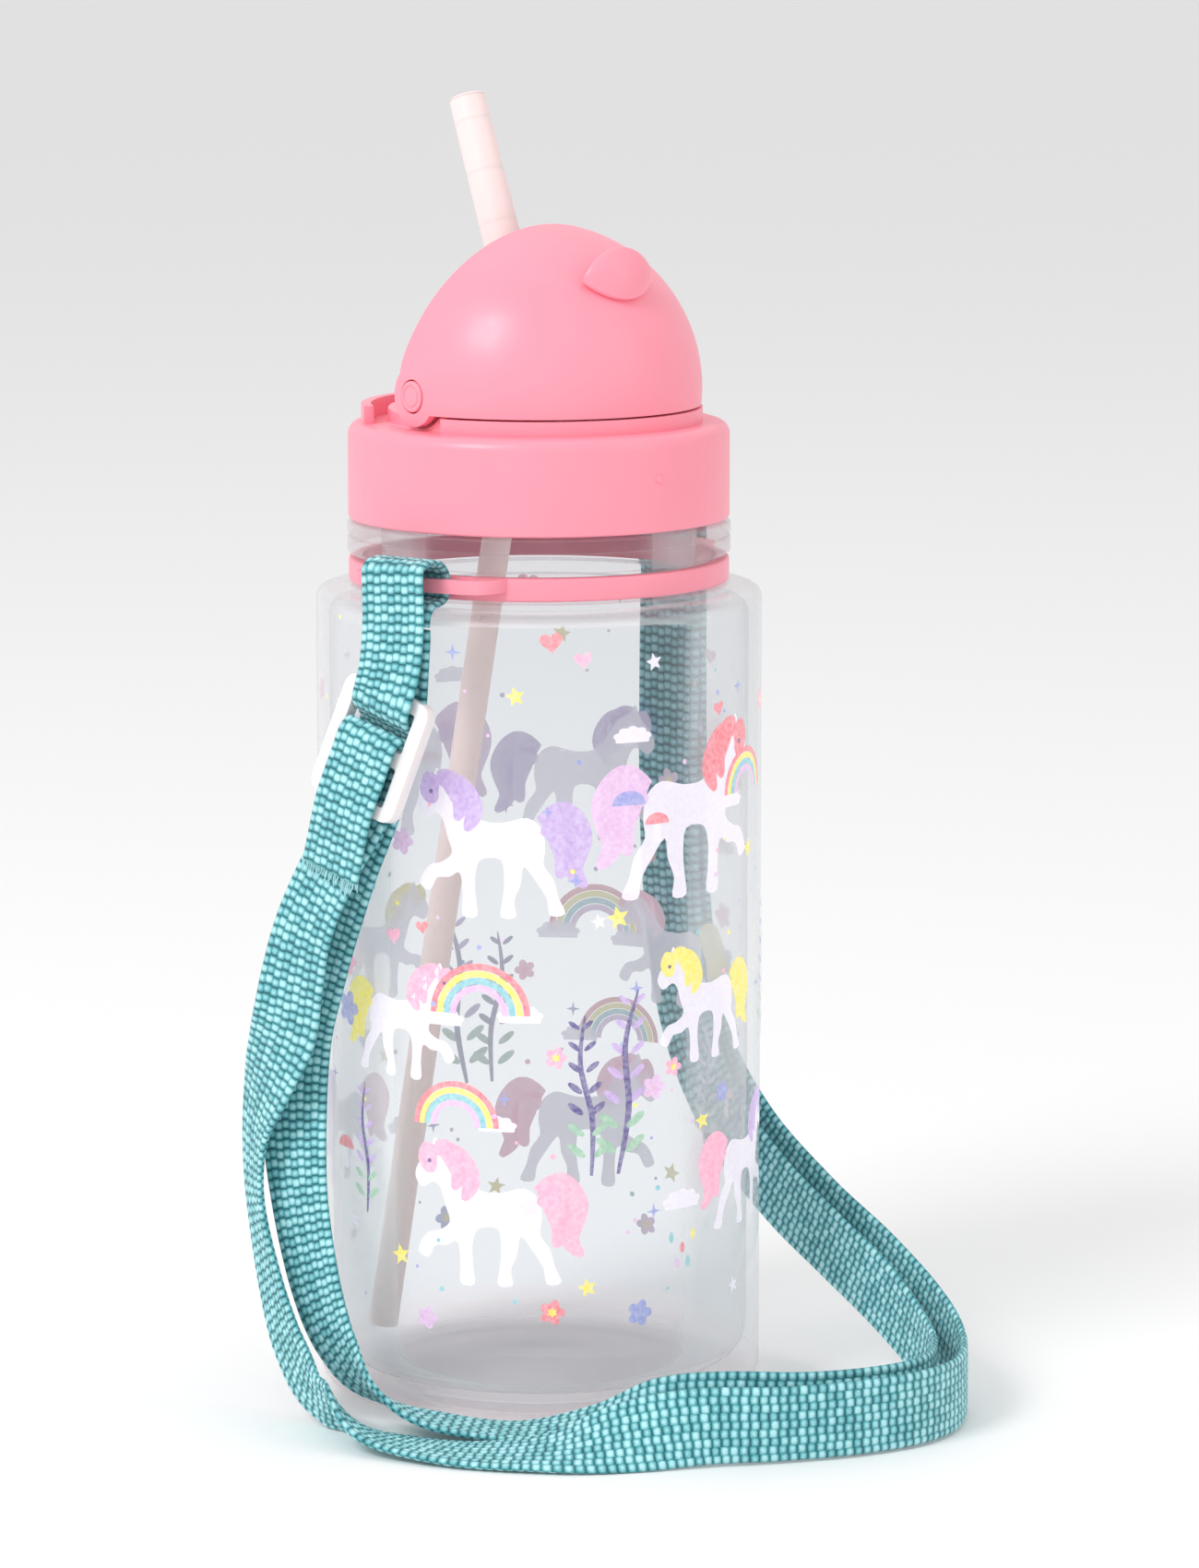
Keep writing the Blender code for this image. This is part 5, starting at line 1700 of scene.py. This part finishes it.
    def film_mesh(self, ink: Ink, outlines: Sequence[Outline]) -> bpy.types.Object:
        """Wraps an ink's outlines round the bottle as one thin closed film.

        Args:
            ink: The ink.
            outlines: Its shapes, unrolled, in millimetres.

        Returns:
            The film.
        """
        bm = bmesh.new()
        for i, outline in enumerate(outlines):
            layer = self.layer * (3 * list(Ink).index(ink) + i % 3)
            corners = [bm.verts.new((x, y, layer)) for x, y in outline]
            for triangle in tessellate_polygon([[Vector((x, y, 0)) for x, y in outline]]):
                bm.faces.new([corners[k] for k in triangle])
        low = min(v.co.x for v in bm.verts)
        high = max(v.co.x for v in bm.verts)
        for cut in range(1, int((high - low) / self.strip) + 1):
            everything = bm.verts[:] + bm.edges[:] + bm.faces[:]
            bmesh.ops.bisect_plane(bm, geom=everything, dist=1e-5, plane_co=(low + cut * self.strip, 0, 0),
                                   plane_no=(1, 0, 0))
        mesh = bpy.data.meshes.new(ink.value[0])
        for vertex in bm.verts:
            angle = radians(self.facing) + vertex.co.x * MM / self.radius
            radius = self.radius + vertex.co.z
            vertex.co = (radius * cos(angle), radius * sin(angle), vertex.co.y * MM)
        for face in bm.faces:
            face.normal_update()
            middle = face.calc_center_median()
            if face.normal.x * middle.x + face.normal.y * middle.y < 0:
                face.normal_flip()
        bm.to_mesh(mesh)
        bm.free()
        obj = bpy.data.objects.new(ink.value[0].replace("ink", "print"), mesh)
        bpy.context.scene.collection.objects.link(obj)
        film = obj.modifiers.new("film", "SOLIDIFY")
        film.thickness = self.film
        film.offset = 1.0
        apply_modifiers(obj)
        # The film's inner faces take a pale backing, which has the inks' painted glow too.
        dress(smooth(obj, 40), ink.made(), PrintInk("ink_pale_back_painted_glow", "FBFAFD", 0.38).made())
        for face in obj.data.polygons:
            face.material_index = int(face.normal.x * face.center.x + face.normal.y * face.center.y < 0)
        return obj

    def build(self) -> list[bpy.types.Object]:
        """Stamps the set twice round the bottle and builds a film for each ink."""
        self.front(0)
        self.front(180)
        films = []
        for ink, outlines in self.marks.items():
            piece = self.film_mesh(ink, outlines)
            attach(piece, "bottle")
            films.append(piece)
        return films


def degrees_along(reach: float) -> float:
    """The angle round the bottle of a distance along its wall, in millimetres."""
    return reach / 37.52 * 180 / pi


# ---------------------------------------------------------------------------
# Studio
# ---------------------------------------------------------------------------


@dataclass
class Studio:
    """The camera, the pale floor and the soft lights."""

    away: tuple[float, float] = (0.643, 0.766)
    distance: float = 1.0
    height: float = 0.268
    tilt: float = radians(9.4)
    swing: float = radians(0.583)
    lens: float = 137.4

    def camera(self) -> None:
        """Sets the camera a metre away, a little above the bottle."""
        eye = Vector((-self.away[0] * self.distance, -self.away[1] * self.distance, self.height))
        heading = atan2(self.away[1], self.away[0]) - self.swing
        look = Vector((cos(heading) * cos(self.tilt), sin(heading) * cos(self.tilt), -sin(self.tilt)))
        data = bpy.data.cameras.new("camera")
        data.lens = self.lens
        data.sensor_width = 36.0
        data.clip_start, data.clip_end = 0.05, 20.0
        camera = bpy.data.objects.new("camera", data)
        camera.location = eye
        camera.rotation_euler = look.to_track_quat("-Z", "Y").to_euler()
        bpy.context.scene.collection.objects.link(camera)
        bpy.context.scene.camera = camera

    def floor(self) -> bpy.types.Object:
        """Lays the floor."""
        deselect_all()
        bpy.ops.mesh.primitive_plane_add(size=12.0, location=(0, 0, -0.02 * MM))
        floor = settle(bpy.context.object)
        floor.name = "floor"
        dress(floor, StudioFloor().material())
        return floor

    def light(self, name: str, place: Vector, size: tuple[float, float], power: float) -> None:
        """Hangs a soft box that faces the bottle's middle."""
        data = bpy.data.lights.new(name, "AREA")
        data.shape = "RECTANGLE"
        data.size, data.size_y = size
        data.energy = power
        lamp = bpy.data.objects.new(name, data)
        lamp.location = place
        lamp.rotation_euler = (Vector((0, 0, 0.10)) - place).to_track_quat("-Z", "Y").to_euler()
        bpy.context.scene.collection.objects.link(lamp)

    def build(self) -> None:
        """Sets up the whole studio."""
        self.camera()
        self.floor()
        world = bpy.data.worlds.new("studio")
        world.use_nodes = True
        back = world.node_tree.nodes["Background"]
        back.inputs["Color"].default_value = (1.0, 1.0, 1.0, 1.0)
        back.inputs["Strength"].default_value = 0.80
        bpy.context.scene.world = world
        bpy.context.scene.view_settings.view_transform = "Standard"
        right, away = Vector((0.766, -0.643, 0)), Vector((0.643, 0.766, 0))
        self.light("key", right * -0.75 - away * 0.75 + Vector((0, 0, 1.05)), (0.5, 0.5), 9.0)
        self.light("fill", right * 1.1 - away * 0.5 + Vector((0, 0, 0.7)), (0.4, 1.2), 1.5)
        self.light("top", away * 0.4 + Vector((0, 0, 1.6)), (1.4, 1.4), 2.0)


# ---------------------------------------------------------------------------
# The object
# ---------------------------------------------------------------------------


def carry_over() -> None:
    """Gives the CAD nodes that stay in view their finishes: the seal and the straw's elbow."""
    for node, finish in (("cap_seal", Finish.SEAL), ("straw_root", Finish.STRAW)):
        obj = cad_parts[node]
        for slot in obj.material_slots:
            slot.material = finish.made()


def main() -> None:
    """Builds the studio and the bottle."""
    logging.basicConfig(level=logging.INFO, format="%(message)s")
    Studio().build()
    carry_over()
    made = Strap().build()
    LOG.info("strap: %d pieces", len(made))
    cap = Cap()
    straws = Straws()
    made = [Bottle().build(), StrapRing().build(), cap.build_collar(), *cap.build_domes(), *cap.build_pins()]
    made += [*straws.build_upper(), straws.build_lower(), *Print().build()]
    for piece in made:
        LOG.info("%s: %d faces", piece.name, len(piece.data.polygons))


if __name__ == "__main__":
    main()
